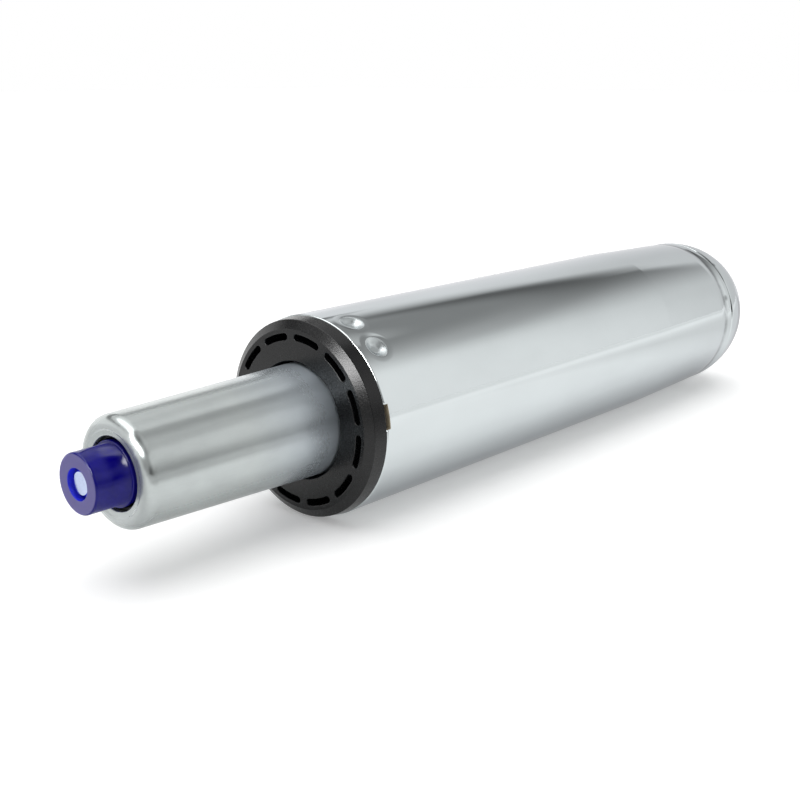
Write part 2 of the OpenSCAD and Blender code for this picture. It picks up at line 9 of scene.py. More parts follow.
import bpy
import numpy as np
from bpy.props import FloatProperty, FloatVectorProperty, IntProperty, PointerProperty, StringProperty
from bpy.types import Operator, Panel, PropertyGroup
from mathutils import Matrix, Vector


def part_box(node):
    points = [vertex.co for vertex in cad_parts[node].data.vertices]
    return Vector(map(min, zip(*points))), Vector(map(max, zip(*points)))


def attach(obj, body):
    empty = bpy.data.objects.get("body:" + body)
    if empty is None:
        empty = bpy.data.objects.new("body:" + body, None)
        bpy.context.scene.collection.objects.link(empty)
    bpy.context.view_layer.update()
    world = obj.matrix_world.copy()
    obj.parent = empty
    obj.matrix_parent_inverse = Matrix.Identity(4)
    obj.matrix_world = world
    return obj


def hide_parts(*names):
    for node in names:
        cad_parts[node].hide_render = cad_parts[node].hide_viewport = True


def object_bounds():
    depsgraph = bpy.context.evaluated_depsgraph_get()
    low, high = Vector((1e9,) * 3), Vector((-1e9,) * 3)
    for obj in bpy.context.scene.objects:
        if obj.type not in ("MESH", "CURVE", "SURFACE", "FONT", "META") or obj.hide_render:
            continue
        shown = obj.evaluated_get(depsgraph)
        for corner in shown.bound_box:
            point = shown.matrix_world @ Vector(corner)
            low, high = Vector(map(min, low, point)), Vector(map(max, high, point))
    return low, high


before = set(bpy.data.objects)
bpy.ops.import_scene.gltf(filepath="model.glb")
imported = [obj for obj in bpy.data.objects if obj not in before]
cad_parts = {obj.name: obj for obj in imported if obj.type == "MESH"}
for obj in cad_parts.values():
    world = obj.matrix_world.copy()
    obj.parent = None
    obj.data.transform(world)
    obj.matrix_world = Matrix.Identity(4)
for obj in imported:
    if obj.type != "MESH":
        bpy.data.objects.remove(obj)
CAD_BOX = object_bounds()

bl_info = {
    "name": "Chair gas lift cylinder",
    "version": (1, 0, 0),
    "blender": (4, 5, 0),
    "location": "3D View > Sidebar > Gas Lift",
    "description": "Builds the shown pieces, the finishes and the studio of a chair gas lift",
    "category": "Object",
}

MM = 0.001
OBJECT_MIDDLE = (Vector(CAD_BOX[0]) + Vector(CAD_BOX[1])) / 2


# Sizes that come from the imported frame

def far_radius(node):
    """Largest distance of a CAD node from the axis, in metres."""
    low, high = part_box(node)
    return round(max(high.x, high.z), 6)


def top_height(node):
    """Height of a CAD node's end above the foot end, in metres."""
    return round(-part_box(node)[0].y, 6)


def foot_height(node):
    """Height of a CAD node's lower end above the foot end, in metres."""
    return round(-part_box(node)[1].y, 6)


def length(name, description, default):
    """A size in metres that shows in the panel as a length."""
    return FloatProperty(name=name, description=description, default=default, min=0.0,
                         precision=5, unit="LENGTH", subtype="DISTANCE")


def turn(name, description, default):
    """An angle in the panel, given here in degrees."""
    return FloatProperty(name=name, description=description, default=math.radians(default),
                         unit="ROTATION", subtype="ANGLE")


def hue(name, description, default):
    """A colour of the panel, as an sRGB hex value."""
    return StringProperty(name=name, description=description, default=default)


def share(name, description, default):
    """A brightness, a darkness or a slope in the panel, which has no unit."""
    return FloatProperty(name=name, description=description, default=default)


def point(name, description, default):
    """A place in the panel, in metres."""
    return FloatVectorProperty(name=name, description=description, size=3, default=default,
                               subtype="XYZ", unit="LENGTH")


class ColumnSizes(PropertyGroup):
    radius: length("Radius", "Outside radius of the column", far_radius("column_tube"))
    rim: length("Rim", "Height of the rim above the foot end", top_height("column_tube"))
    wall: length("Wall", "Wall of the column's tube", 1.6 * MM)
    rim_round: length("Rim rounding", "Rounding of the rim's edges", 0.3 * MM)
    taper_angle: turn("Taper angle", "Half angle of the self-locking foot taper", 1.438)
    taper_length: length("Taper length", "Length of the foot taper", 42.5 * MM)
    roll_height: length("Rolled end", "Height of the rolled end below the taper", 22.5 * MM)
    roll_radius: length("Rolling radius", "Radius of the rolled end", 30 * MM)
    crease_height: length("Crease", "Height of the crease that the rolling tool leaves", 26.5 * MM)
    crease_width: length("Crease width", "Half width of that crease", 1.6 * MM)
    crease_depth: length("Crease depth", "Depth of that crease", 0.2 * MM)
    dimple_radius: length("Dimple radius", "Radius of each pressed dimple", 3.1 * MM)
    dimple_depth: length("Dimple depth", "Depth of each pressed dimple", 1.3 * MM)
    dimple_down: length("Dimple place", "Distance from the rim to the middle of the dimples", 5.9 * MM)
    dimple_pair_angle: turn("Dimple pair", "Angle of the middle of the first pair", 29.9)
    dimple_step_angle: turn("Dimple step", "Angle between the dimples of a pair", 21.4)
    notch_width: length("Notch width", "Width of the notch in the rim", 5.9 * MM)
    notch_depth: length("Notch depth", "Depth of the notch in the rim", 1.1 * MM)
    notch_angle: turn("Notch angle", "Angle of the notch", 79.7)


class SleeveSizes(PropertyGroup):
    radius: length("Collar radius", "Outside radius of the collar", far_radius("guide_sleeve"))
    face: length("Face", "Height of the collar's face above the foot end", top_height("guide_sleeve"))
    low: length("Lower end", "Height of the sleeve's lower end", foot_height("guide_sleeve"))
    inset: length("Collar inset", "How far the collar stands back from the column's surface", 0.2 * MM)
    draft: length("Collar draft", "How much the collar narrows from the rim to its chamfer", 0.4 * MM)
    chamfer_height: length("Chamfer height", "Height of the chamfer round the face", 1.4 * MM)
    chamfer_width: length("Chamfer width", "Width of the chamfer round the face", 2.1 * MM)
    fit: length("Sleeve fit", "Gap between the sleeve and the column's wall", 0.05 * MM)
    bore_gap: length("Bore gap", "Gap between the guide bands and the pressure tube", 0.08 * MM)
    relief: length("Relief", "How much wider the bore is between its guide bands", 0.6 * MM)
    band: length("Guide band", "Length of each guide band", 22 * MM)
    mouth_relief: length("Mouth", "How much wider the mouth of the bore is", 0.5 * MM)
    mouth_height: length("Mouth height", "Height over which the mouth narrows", 5 * MM)
    slot_count: IntProperty(name="Slots", description="Arc slots in the collar's face", default=12, min=6)
    slot_inset: length("Slot inset", "Distance from the column's inner wall to the middle of the slots", 3 * MM)
    slot_width: length("Slot width", "Width of each slot", 1.7 * MM)
    slot_span: turn("Slot span", "Angle that each slot spans, round ends and all", 23.5)
    slot_depth: length("Slot depth", "Depth of the slots", 25 * MM)
    slot_lip: length("Slot lip", "Rounding of the slots' edges", 0.16 * MM)
    slot_first: turn("First slot", "Angle of the middle of the first slot", 10.5)
    edge: length("Edge rounding", "Rounding of the moulded edges", 0.22 * MM)


class TubeSizes(PropertyGroup):
    radius: length("Radius", "Outside radius of the pressure tube", far_radius("pressure_tube"))
    top: length("End", "Height of the tube's end above the foot end", top_height("pressure_tube"))
    low: length("Lower end", "Height of the tube's rolled lower end", foot_height("pressure_tube"))
    wall: length("Wall", "Wall of the pressure tube", 1.5 * MM)
    taper_angle: turn("Taper angle", "Half angle of the self-locking seat taper", 1.438)
    end_round: length("End rounding", "Radius of the closed end's rounding", 2.5 * MM)
    end_hole: length("End opening", "Radius of the opening in the closed end", 8.2 * MM)
    lip: length("Lip", "Rounding of the opening's lip", 0.35 * MM)
    step_width: length("Step width", "Width of the shallow step round the opening", 1.2 * MM)
    step_depth: length("Step depth", "Depth of that step", 0.16 * MM)
    low_hole: length("Lower opening", "Radius of the opening in the rolled lower end", 9 * MM)


class ButtonSizes(PropertyGroup):
    radius: length("Radius", "Radius of the button's barrel", 6.7 * MM)
    face: length("Face", "Height of the button's face above the foot end", top_height("release_button"))
    low: length("Lower end", "Height of the skirt's lower end", foot_height("release_button"))
    edge: length("Edge rounding", "Rounding of the button's edge", 0.6 * MM)
    skirt_radius: length("Skirt radius", "Radius of the button's skirt", far_radius("release_button"))
    skirt: length("Skirt", "Height of the button's skirt", 1.4 * MM)
    hole: length("Hole radius", "Radius of the hole in the face", 3.45 * MM)
    hole_depth: length("Hole depth", "Depth of the wide part of the hole", 2.5 * MM)
    socket: length("Socket", "Radius of the socket that the end of the valve pin fills", 2.95 * MM)


class FootSizes(PropertyGroup):
    washer_radius: length("Washer radius", "Outside radius of the washer", far_radius("foot_washer"))
    washer_hole: length("Washer hole", "Radius of the foot washer's hole", 4.05 * MM)
    washer_round: length("Washer edge", "Rounding of the foot washer's edges", 0.25 * MM)
    clip_radius: length("Clip radius", "Outside radius of the retaining clip", far_radius("retaining_clip"))
    clip_groove: length("Clip seat", "Radius at which the clip's lugs hold the rod", 3.15 * MM)
    clip_relief: length("Clip relief", "How far the clip stands off the rod between its lugs", 1.5 * MM)
    clip_open: turn("Clip opening", "Angle that the clip leaves open", 70)


class FinishColours(PropertyGroup):
    chrome: hue("Chrome", "Bright chromium plating", "#CCD2D3")
    ground: hue("Ground steel", "Ground and phosphated steel", "#BCC2C1")
    # Painted shade: the pressure tube is painted bluer and darker towards the collar, where the collar shades
    # it
    collar_painted_shade: hue("Phosphate tint", "Bluish film of the phosphate near the collar", "#A3AEBC")
    sleeve: hue("Guide plastic", "Black moulded acetal", "#0C0D0E")
    button: hue("Button plastic", "Violet blue moulded polyamide", "#120E72")
    # Painted sheen: the button's face is painted paler than its barrel, for the light it catches
    button_face_painted_sheen: hue("Button face", "The same plastic where its matt face scatters the light", "#6A659E")
    # Painted light: the wall of the button's hole is painted a brighter, purer blue, for light that comes
    # through it
    button_hole_painted_light: hue("Button hole", "The same plastic where light comes through the thin wall", "#2A2FCC")
    rod: hue("Hard chrome", "Hard chromium on the rod", "#CDD0D2")
    # Painted reflection: the pin is tinted blue for the blue walls round its end, mirrored in it
    pin: hue("Valve pin", "Polished steel, tinted by the blue walls round the pin's end", "#D3E0FF")
    zinc: hue("Zinc", "Bright zinc plating", "#BFC3C6")
    spring: hue("Spring steel", "Black oxide on spring steel", "#33322F")
    steel: hue("Raw steel", "Oiled mild steel", "#7A6F60")
    cut: hue("Cut steel", "Dull cut edge of the plated tube", "#B5A88E")
    anodised: hue("Anodised aluminium", "Black anodised aluminium", "#1D1E21")
    bearing: hue("Bearing steel", "Polished bearing steel", "#C4C6C8")
    cage: hue("Cage", "Glass-filled polyamide", "#2B2A26")
    guide: hue("Rod guide", "Natural acetal", "#D8D2BF")
    aluminium: hue("Aluminium", "Turned aluminium", "#C9CBCE")
    brass: hue("Brass", "Turned brass", "#C2A25C")
    rubber: hue("Rubber", "Black nitrile rubber", "#161616")
    felt: hue("Felt", "Oiled wool felt", "#6B6458")
    floor: hue("Floor", "Pale studio floor", "#FAFAFA")


class StudioSettings(PropertyGroup):
    camera: point("Camera", "Place of the camera", (0.199015, -0.38704, 0.080568))
    aim: point("Aim", "Point that the camera looks at", (0.006733, -0.17125, 0.000177))
    lens: FloatProperty(name="Lens", description="Focal length in millimetres on a 36 mm sensor",
                        default=52.873, min=10.0)
    overhead: share("Overhead light", "Share of a white surface's brightness that it gives", 0.54)
    overhead_size: turn("Overhead size", "Angle that the overhead light takes up", 66)
    overhead_lean: turn("Overhead lean", "How far the overhead light leans to the left", 3)
    fill: share("Fill light", "Share of a white surface's brightness that the tent gives", 0.52)
    front: share("Front softbox", "Brightness of the softbox in front", 20.0)
    front_place: point("Softbox place", "Place of the softbox in front", (0.08, -0.85, 0.36))
    front_width: length("Softbox width", "Width of the softbox in front", 0.48)
    front_height: length("Softbox height", "Height of the softbox in front", 0.2)
    floor_side: length("Floor side", "Half the length of the floor's sides", 6.0)
    # Painted shade on the floor, seen only in reflections: each of these darkens a zone of the floor for
    # mirrored rays, and the floor below the object gets a painted shadow
    near_dim: share("Near floor", "How much the floor beside the column dims in reflections", 0.04)
    far_dim: share("Far floor", "How much the floor by the foot dims in reflections", 0.25)
    right_dim: share("Right floor", "How much the floor on the right dims in reflections", 0.6)
    under_dim: share("Floor below", "How much the floor under the object dims in reflections", 0.38)
    corner_dim: share("Near corner", "How much the near left corner of the floor dims in reflections", 0.3)
    horizon_dim: share("Floor's end", "How much the distant floor dims in reflections", 0.16)
    floor_lift: share("Floor lift", "How much the floor is lifted to white in the picture", 0.25)


class TentSettings(PropertyGroup):
    """Brightness of the white tent in reflections, by azimuth from the axis towards +X and by elevation"""
    level: share("Level", "Brightness of the tent's right side", 1.13)
    left: share("Left side", "Brightness of its left side beside that", 0.97)
    centre: share("Centre", "Brightness straight ahead beside that", 0.77)
    far_left: share("Far left", "Brightness of the far left beside the left side", 1.2)
    edge_low: turn("Edge, low", "Elevation at which the tent starts to darken under its open top", 27.4)
    edge_high: turn("Edge, high", "Elevation at which it is dark", 32.8)
    knee: turn("Knee", "Azimuth right of which the edge sinks", -8)
    sink: share("Sink", "Slope at which the edge sinks on the right", 0.55)
    soft: turn("Softening", "Azimuth left of which the edge softens", -23)
    soft_slope: share("Softening slope", "How fast the edge softens there", 0.45)
    slope: share("Slope", "Slope of the open top's soft right side", 0.6)
    slope_top: turn("Slope's top", "Elevation at which that slope ends", 28)
    slope_low: turn("Right side, low", "Elevation above the sloping line at which that side starts", 7)
    slope_high: turn("Right side, high", "Elevation above the sloping line at which it ends", 42)
    depth: share("Depth", "Darkness of the open top just above its edge", 0.82)
    depth_high: share("Depth higher up", "Darkness of the open top above that", 0.62)
    depth_top: turn("Depth's top", "Elevation from which the open top has that darkness", 38)
    ring: share("Ring", "Darkness of the ring under the overhead light", 0.42)
    horizon: share("Horizon", "Darkness of the far right horizon", 0.56)
    strip: share("Strip", "Darkness of the strip high on the far left", 0.95)
    softbox: share("Softbox", "Brightness of the softbox above the left side", 2.4)
    softbox_left: share("Softbox, left", "Brightness of its left end beside that", 0.8)
    softbox_right: share("Softbox, right", "Brightness of its right end beside that", 1.75)
    softbox_far: share("Softbox, far", "Brightness of its far half beside that", 0.17)
    corner: share("Corner", "Darkness of the tent's right corner beside the room's", 0.3)
    room: share("Room", "Darkness of the room behind the camera", 0.68)


# Zones of painted shade on the floor, seen only in reflections, each from where it starts to where it is full,
# in metres
RIGHT_ACROSS, RIGHT_X = (0.235, 0.265), (0.07, 0.115)  # measured along x - y, and along x
FAR_Y, FAR_X = (-0.02, 0.06), (0.2, 0.1)
CORNER_Y, CORNER_X = (-0.27, -0.3), (0.02, -0.03)
HORIZON_X = (0.28, 0.42)
UNDER_X = (0.03, 0.0)  # to either side of the axis

# Parts of the tent, each from where it starts to where it is full: azimuth or elevation, in degrees
OPENING_AZIMUTH = (-47, -33)
RING_ELEVATION = (33, 42)
HORIZON_AZIMUTH, HORIZON_ELEVATION = (43, 54), (24, 2)
STRIP_AZIMUTH, STRIP_ABOVE, STRIP_BELOW = (-38, -42), (22, 25), (35, 33)
SOFTBOX_ELEVATION, SOFTBOX_AZIMUTH, SOFTBOX_END = (42, 49), (-40, -8), (7, 1)
CORNER_AZIMUTH, CORNER_ELEVATION = (24, 34), (52, 30)
LEFT_AZIMUTH, CENTRE_AZIMUTH, FAR_LEFT_AZIMUTH = (-32, -22), (18, 38), (-44, -49)

# The same by a share of the direction along an axis
SOFTBOX_NEAR_Y = (0.15, -0.15)
ROOM_Y, ROOM_X = (0.1, -0.3), (-0.1, 0.3)
TENT_CORNER_Y = (0.65, 0.58)


# Meshes

FLAT_EDGE = 0.06 * MM  # width of the strip beside a rounded corner that keeps the side's shading flat
WELD = 0.2e-6          # size in metres of the grid on which two points count as one


def turned(profile, angles):
    """Surface of revolution round the Y axis: each [radius, height] of the profile is carried round the angles,
    x = radius sin(angle), y = -height, z = radius cos(angle). The first axis runs along the profile."""
    r, h = profile[:, :1], profile[:, 1:]
    a = angles[None, :]
    return np.stack([r * np.sin(a), -h + 0 * a, r * np.cos(a)], axis=-1)


def grid_quads(rows, columns, close_rows, close_columns, start=0):
    """Corner numbers of the quads of a grid of rows by columns, which may close on itself either way."""
    i = np.arange(rows if close_rows else rows - 1)[:, None]
    j = np.arange(columns if close_columns else columns - 1)[None, :]
    i2, j2 = (i + 1) % rows, (j + 1) % columns
    quads = np.stack([i * columns + j, i2 * columns + j, i2 * columns + j2, i * columns + j2], axis=-1)
    return quads.reshape(-1, 4) + start


def rounded(corners, steps=5):
    """Closed or open profile with rounded corners: each corner is (radius, height, rounding), and its rounding
    is an arc that touches both sides, with one more point a little way along each side, so that the sides shade
    flat."""
    corners = np.asarray(corners, float)
    points = []
    for k, (x, y, rounding) in enumerate(corners):
        here = np.array([x, y])
        if rounding <= 0:
            points.append(here[None])
            continue
        before = corners[k - 1, :2] - here
        after = corners[(k + 1) % len(corners), :2] - here
        before /= np.linalg.norm(before)
        after /= np.linalg.norm(after)
        half = 0.5 * math.acos(np.clip(before @ after, -1, 1))
        reach = rounding / math.tan(half)
        middle = here + (before + after) / np.linalg.norm(before + after) * rounding / math.sin(half)
        first = here + before * reach - middle
        last = here + after * reach - middle
        sweep = math.pi - 2 * half
        t = np.linspace(0, 1, steps + 1)[:, None]
        arc = (first * np.sin((1 - t) * sweep) + last * np.sin(t * sweep)) / math.sin(sweep)
        edge = min(FLAT_EDGE, 0.25 * rounding)
        points += [(here + before * (reach + edge))[None], middle + arc, (here + after * (reach + edge))[None]]
    return np.concatenate(points)


def arc_points(middle, radius, first, last, count):
    """Points on a circle in the [radius, height] plane, from one angle to another in radians."""
    t = np.linspace(first, last, count)
    return np.stack([middle[0] + radius * np.cos(t), middle[1] + radius * np.sin(t)], axis=-1)


def signed_volume(points, faces):
    """Six times the volume inside triangles and quads, which is positive where the faces point outwards."""
    a, b, c = points[faces[:, 0]], points[faces[:, 1]], points[faces[:, 2]]
    total = np.einsum("ij,ij->", a, np.cross(b, c))
    if faces.shape[1] == 4:
        d = points[faces[:, 3]]
        total += np.einsum("ij,ij->", a, np.cross(c, d))
    return total


def make_piece(name, points, quads, body, replaces, materials, marks=None):
    """Puts points and quads into a mesh: equal points become one, quads that lost a corner become triangles,
    and the faces are turned outwards. marks gives the material number of each quad."""
    points = points.reshape(-1, 3)
    _, first, number = np.unique(np.round(points / WELD).astype(np.int64), axis=0,
                                 return_index=True, return_inverse=True)
    points = points[first]
    quads = number.reshape(-1)[quads]
    marks = np.zeros(len(quads), int) if marks is None else marks
    lost = quads == np.roll(quads, -1, axis=1)
    whole = ~lost.any(axis=1)
    single = lost.sum(axis=1) == 1
    thin, thin_lost = quads[single], lost[single]
    triangles = thin[~thin_lost].reshape(-1, 3)
    flip = signed_volume(points, quads[whole]) + signed_volume(points, triangles) < 0
    faces = [f[::-1] if flip else f for f in quads[whole].tolist() + triangles.tolist()]
    mesh = bpy.data.meshes.new(name)
    mesh.from_pydata(points.tolist(), [], faces)
    mesh.polygons.foreach_set("material_index", np.concatenate([marks[whole], marks[single]]).astype(np.int32))
    mesh.polygons.foreach_set("use_smooth", np.ones(len(faces), bool))
    for material in materials:
        mesh.materials.append(material)
    mesh.update()
    piece = bpy.data.objects.new(name, mesh)
    bpy.context.scene.collection.objects.link(piece)
    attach(piece, body)
    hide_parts(replaces)


def turned_piece(name, profile, count, body, replaces, material):
    """A piece that is a closed profile turned once round the axis in count steps."""
    points = turned(profile, np.linspace(0, 2 * math.pi, count, endpoint=False))
    make_piece(name, points, grid_quads(*points.shape[:2], True, True), body, replaces, [material])


def press_in(points, profile, sink):
    """Moves turned points towards the axis by a sink, and leaves their heights as they are."""
    points[..., ::2] *= (1 - sink / np.maximum(profile[:, :1], 1e-9))[..., None]


def spread_over(points, profile, angles):
    """The angle and the height of every turned point."""
    return (np.broadcast_to(angles[None, :], points.shape[:2]),
            np.broadcast_to(profile[:, 1:], points.shape[:2]))


def ease(value, low, high):
    """Smooth step from 0 at low to 1 at high."""
    t = np.clip((value - low) / (high - low), 0, 1)
    return t * t * (3 - 2 * t)


def spread(edges, steps):
    """Numbers from the first edge to the last, with the given step between each pair of edges."""
    parts = [np.linspace(a, b, max(int(math.ceil((b - a) / s)), 1), endpoint=False)
             for a, b, s in zip(edges[:-1], edges[1:], steps)]
    return np.concatenate(parts + [np.array(edges[-1:])])


def dimple_angles(sizes):
    """Angles of the four dimples, a pair on each side of the column."""
    return [sizes.dimple_pair_angle + half_turn + side * sizes.dimple_step_angle / 2
            for half_turn in (0.0, math.pi) for side in (-1, 1)]


def dimple_sink(sizes, angle, height):
    """How deep the wall is pressed in at an angle and height. Each dimple is a dish, flat in its middle, that
    rises in a smooth step up to 1.05 of its radius, and round it a shallow shoulder eases out to 1.5 of it."""
    dish_share, shoulder_share = 0.93, 0.07
    sink = 0 * angle
    for middle in dimple_angles(sizes):
        across = (np.mod(angle - middle + math.pi, 2 * math.pi) - math.pi) * sizes.radius
        along = height - (sizes.rim - sizes.dimple_down)
        away = np.sqrt(across ** 2 + along ** 2) / sizes.dimple_radius
        dish = (1 - ease(away, 0.28, 1.05)) * sizes.dimple_depth * dish_share
        shoulder = (1 - ease(away, 0.8, 1.5)) * sizes.dimple_depth * shoulder_share
        sink = sink + dish + shoulder
    return sink


class GASLIFT_OT_column(Operator):
    """Builds the chromed column with its pressed dimples, rim notch and rolled foot"""
    bl_idname = "gaslift.column"
    bl_label = "Column"

    def execute(self, context):
        s = context.scene.gaslift_column
        tan, cos, sin = math.tan(s.taper_angle), math.cos(s.taper_angle), math.sin(s.taper_angle)
        taper_top = s.roll_height + s.taper_length
        roll_mid = np.array([s.radius - s.taper_length * tan - s.roll_radius * cos,
                             s.roll_height + s.roll_radius * sin])
        crease_reach, crease_rows = 2.5, 17  # in crease widths, and in points
        first_step, pressed_zone = 2 * MM, 13 * MM  # above the taper, and below the rim

        def side(depth, roll_count, steps):
            """Profile of the wall at a depth below its surface, from the foot end up to just under the rim."""
            radius = s.roll_radius - depth
            roll_start = -math.asin(roll_mid[1] / radius)
            roll = arc_points(roll_mid, radius, roll_start, -s.taper_angle, roll_count)
            reach = crease_reach * s.crease_width
            near = np.linspace(s.crease_height - reach, s.crease_height + reach, crease_rows)
            press = s.crease_depth * np.exp(-((near - s.crease_height) / s.crease_width) ** 2)
            taper = np.stack([s.radius - depth - (taper_top - near) * tan - press, near], axis=-1)
            top = s.rim - s.rim_round
            heights = spread([taper_top, taper_top + first_step, s.rim - pressed_zone,
                              top - FLAT_EDGE, top], steps)
            barrel = np.stack([np.full(len(heights), s.radius - depth), heights], axis=-1)
            return np.concatenate([roll, taper, barrel])

        # The rim's edges are rounded between two sides that only lend them their direction
        inner_wall = s.radius - s.wall
        rim = rounded([(inner_wall - 1, s.rim, 0), (s.radius, s.rim, s.rim_round), (s.radius, 0, 0)])[1:-1]
        rim_in = rounded([(inner_wall, 0, 0), (inner_wall, s.rim, s.rim_round / 2),
                          (s.radius + 1, s.rim, 0)])[1:-1]
        outer = side(depth=0, roll_count=26, steps=[1 * MM, 10 * MM, 0.16 * MM, 1])
        inner = side(depth=s.wall, roll_count=12, steps=[2 * MM, 30 * MM, 0.45 * MM, 1])
        profile = np.concatenate([outer, rim[::-1][1:], rim_in[::-1][:-1], inner[::-1]])

        # The angles lie close together across the dimples and at the notch's steep sides
        fine, coarse = 0.17 * MM / s.radius, math.radians(1.25)
        room = 1.6 * s.dimple_radius / s.radius + s.dimple_step_angle / 2
        notch = s.notch_width / 2 / s.radius
        wall = 0.03 * MM / s.radius
        first, second = s.dimple_pair_angle, s.dimple_pair_angle + math.pi
        edges = [first - room, first + room, s.notch_angle - notch - wall, s.notch_angle - notch,
                 s.notch_angle + notch, s.notch_angle + notch + wall, second - room, second + room,
                 first - room + 2 * math.pi]
        angles = spread(edges, [fine, coarse, 1, coarse, 1, coarse, fine, coarse])[:-1]

        points = turned(profile, angles)
        a, h = spread_over(points, profile, angles)
        still_round = ease(h, s.rim - 1.4 * MM, s.rim - 0.4 * MM)
        press_in(points, profile, dimple_sink(s, a, h) * (1 - still_round))

        # The notch: the points above its floor come down, and keep a trace of their order
        inside = np.abs(a - s.notch_angle) <= notch + 1e-9
        cut, trace = s.rim - s.notch_depth, 0.02
        in_notch = inside & (h > cut)
        lowered = np.maximum(points[..., 1], -(cut + (h - s.rim) * trace))
        points[..., 1] = np.where(in_notch, lowered, points[..., 1])

        # Bare steel shows in the notch and on the rim's inner edge and the inside
        quads = grid_quads(*points.shape[:2], True, True)
        marked = in_notch.reshape(-1)[quads].any(axis=1)
        rows = quads.reshape(points.shape[0], -1, 4).shape[1]
        row = np.arange(len(quads)) // rows
        edge_row = (row >= len(outer) + len(rim) - 3) & (row < len(profile) - 1)
        marks = np.where(marked | edge_row, 1, 0)
        make_piece("column_shell", points, quads, "column", "column_tube",
                   [bright_chrome(context), dull_finish(context, "sheared_steel")], marks)
        return {"FINISHED"}


class GASLIFT_OT_guide_sleeve(Operator):
    """Builds the black guide sleeve with its chamfered collar and twelve arc slots"""
    bl_idname = "gaslift.guide_sleeve"
    bl_label = "Guide sleeve"

    def execute(self, context):
        s = context.scene.gaslift_sleeve
        column = context.scene.gaslift_column
        tube = context.scene.gaslift_tube
        bore = tube.radius + s.bore_gap
        inner_wall = column.radius - column.wall
        mid = inner_wall - s.slot_inset
        mouth = bore + s.mouth_relief
        foot_out = s.radius - s.inset
        top_out = foot_out - s.draft
        face_out = top_out - s.chamfer_width
        e = s.edge

        # The corners run from the face's inner border through the bore, down, and back up the outside
        shell = rounded([
            (face_out, s.face, e), (mouth, s.face, e), (bore, s.face - s.mouth_height, 0),
            (bore, s.face - s.mouth_height - s.band, 0),
            (bore + s.relief, s.face - s.mouth_height - s.band - s.relief, 0),
            (bore + s.relief, s.low + s.band + s.relief, 0), (bore, s.low + s.band, 0), (bore, s.low, e),
            (inner_wall - s.fit, s.low, e), (inner_wall - s.fit, column.rim, 0), (foot_out, column.rim, e / 2),
            (top_out, s.face - s.chamfer_height, e)])
        corner_points = 8  # of the first corner: the arc's six and one along each side
        shell = np.roll(shell, -corner_points, axis=0)
        border_in, border_out = shell[0, 0], shell[-1, 0]

        # Face of one sector: a grid that runs round the slot's outline and outwards to the sector's border
        along, across = 10, 8
        sector = 2 * math.pi / s.slot_count
        half = s.slot_span / 2 - math.asin(s.slot_width / 2 / mid)
        w = s.slot_width / 2
        u = np.linspace(-1, 1, along + 1)[:-1]
        v = np.linspace(-1, 1, across + 1)[:-1]
        swing = v * math.pi / 2

        def outline(grow):
            """The slot's outline in [angle, radius], with round ends, grown by a distance."""
            r = w + grow
            return np.concatenate([
                np.stack([u * half, np.full(along, mid - r)], -1),
                np.stack([half + r * np.cos(swing) / mid, mid + r * np.sin(swing)], -1),
                np.stack([-u * half, np.full(along, mid + r)], -1),
                np.stack([-half - r * np.cos(swing) / mid, mid - r * np.sin(swing)], -1)])

        middle_r = (border_in + border_out) / 2
        reach = (border_out - border_in) / 2
        border = np.concatenate([
            np.stack([u * sector / 2, np.full(along, border_in)], -1),
            np.stack([np.full(across, sector / 2), middle_r + v * reach], -1),
            np.stack([-u * sector / 2, np.full(along, border_out)], -1),
            np.stack([np.full(across, -sector / 2), middle_r - v * reach], -1)])
        lip = s.slot_lip
        turns = np.linspace(0, math.pi / 2, 4)
        floor = np.stack([np.clip(outline(0)[:, 0], -half, half), np.full(len(border), mid)], -1)
        layers = [(floor, s.slot_depth), (outline(0), s.slot_depth), (outline(0), 2 * lip)]
        layers += [(outline(lip * (1 - math.cos(t))), lip * (1 - math.sin(t))) for t in turns]
        land = outline(1.6 * lip)
        layers += [(land * (1 - k) + border * k, 0.0) for k in (0.0, 0.25, 0.55, 1.0)]
        plan = np.stack([p for p, _ in layers])
        depth = np.array([d for _, d in layers])[:, None]
        starts = s.slot_first + sector * np.arange(s.slot_count)
        angle = starts[:, None, None] + plan[None, ..., 0]
        radius = np.broadcast_to(plan[None, ..., 1], angle.shape)
        height = np.broadcast_to(s.face - depth[None], angle.shape)
        face = np.stack([radius * np.sin(angle), -height, radius * np.cos(angle)], -1)
        count = plan.shape[1]
        one = grid_quads(len(layers), count, False, True)
        face_quads = (one[None] + (np.arange(s.slot_count) * len(layers) * count)[:, None, None]).reshape(-1, 4)

        angles = (starts[:, None] + u[None] * sector / 2).reshape(-1)
        turned_part = turned(shell, angles)
        a, h = spread_over(turned_part, shell, angles)
        outside = (turned_part[..., 0] ** 2 + turned_part[..., 2] ** 2) ** 0.5 > inner_wall - 2 * s.fit
        clear = 1.1  # the sleeve gives way a little more than the wall comes in
        press_in(turned_part, shell, np.where(outside & (h < column.rim), dimple_sink(column, a, h) * clear, 0))
        shell_quads = grid_quads(*turned_part.shape[:2], False, True, face.size // 3)
        points = np.concatenate([face.reshape(-1, 3), turned_part.reshape(-1, 3)])
        quads = np.concatenate([face_quads, shell_quads])
        make_piece("collar_sleeve", points, quads, "column", "guide_sleeve",
                   [moulded_acetal(context)])
        return {"FINISHED"}


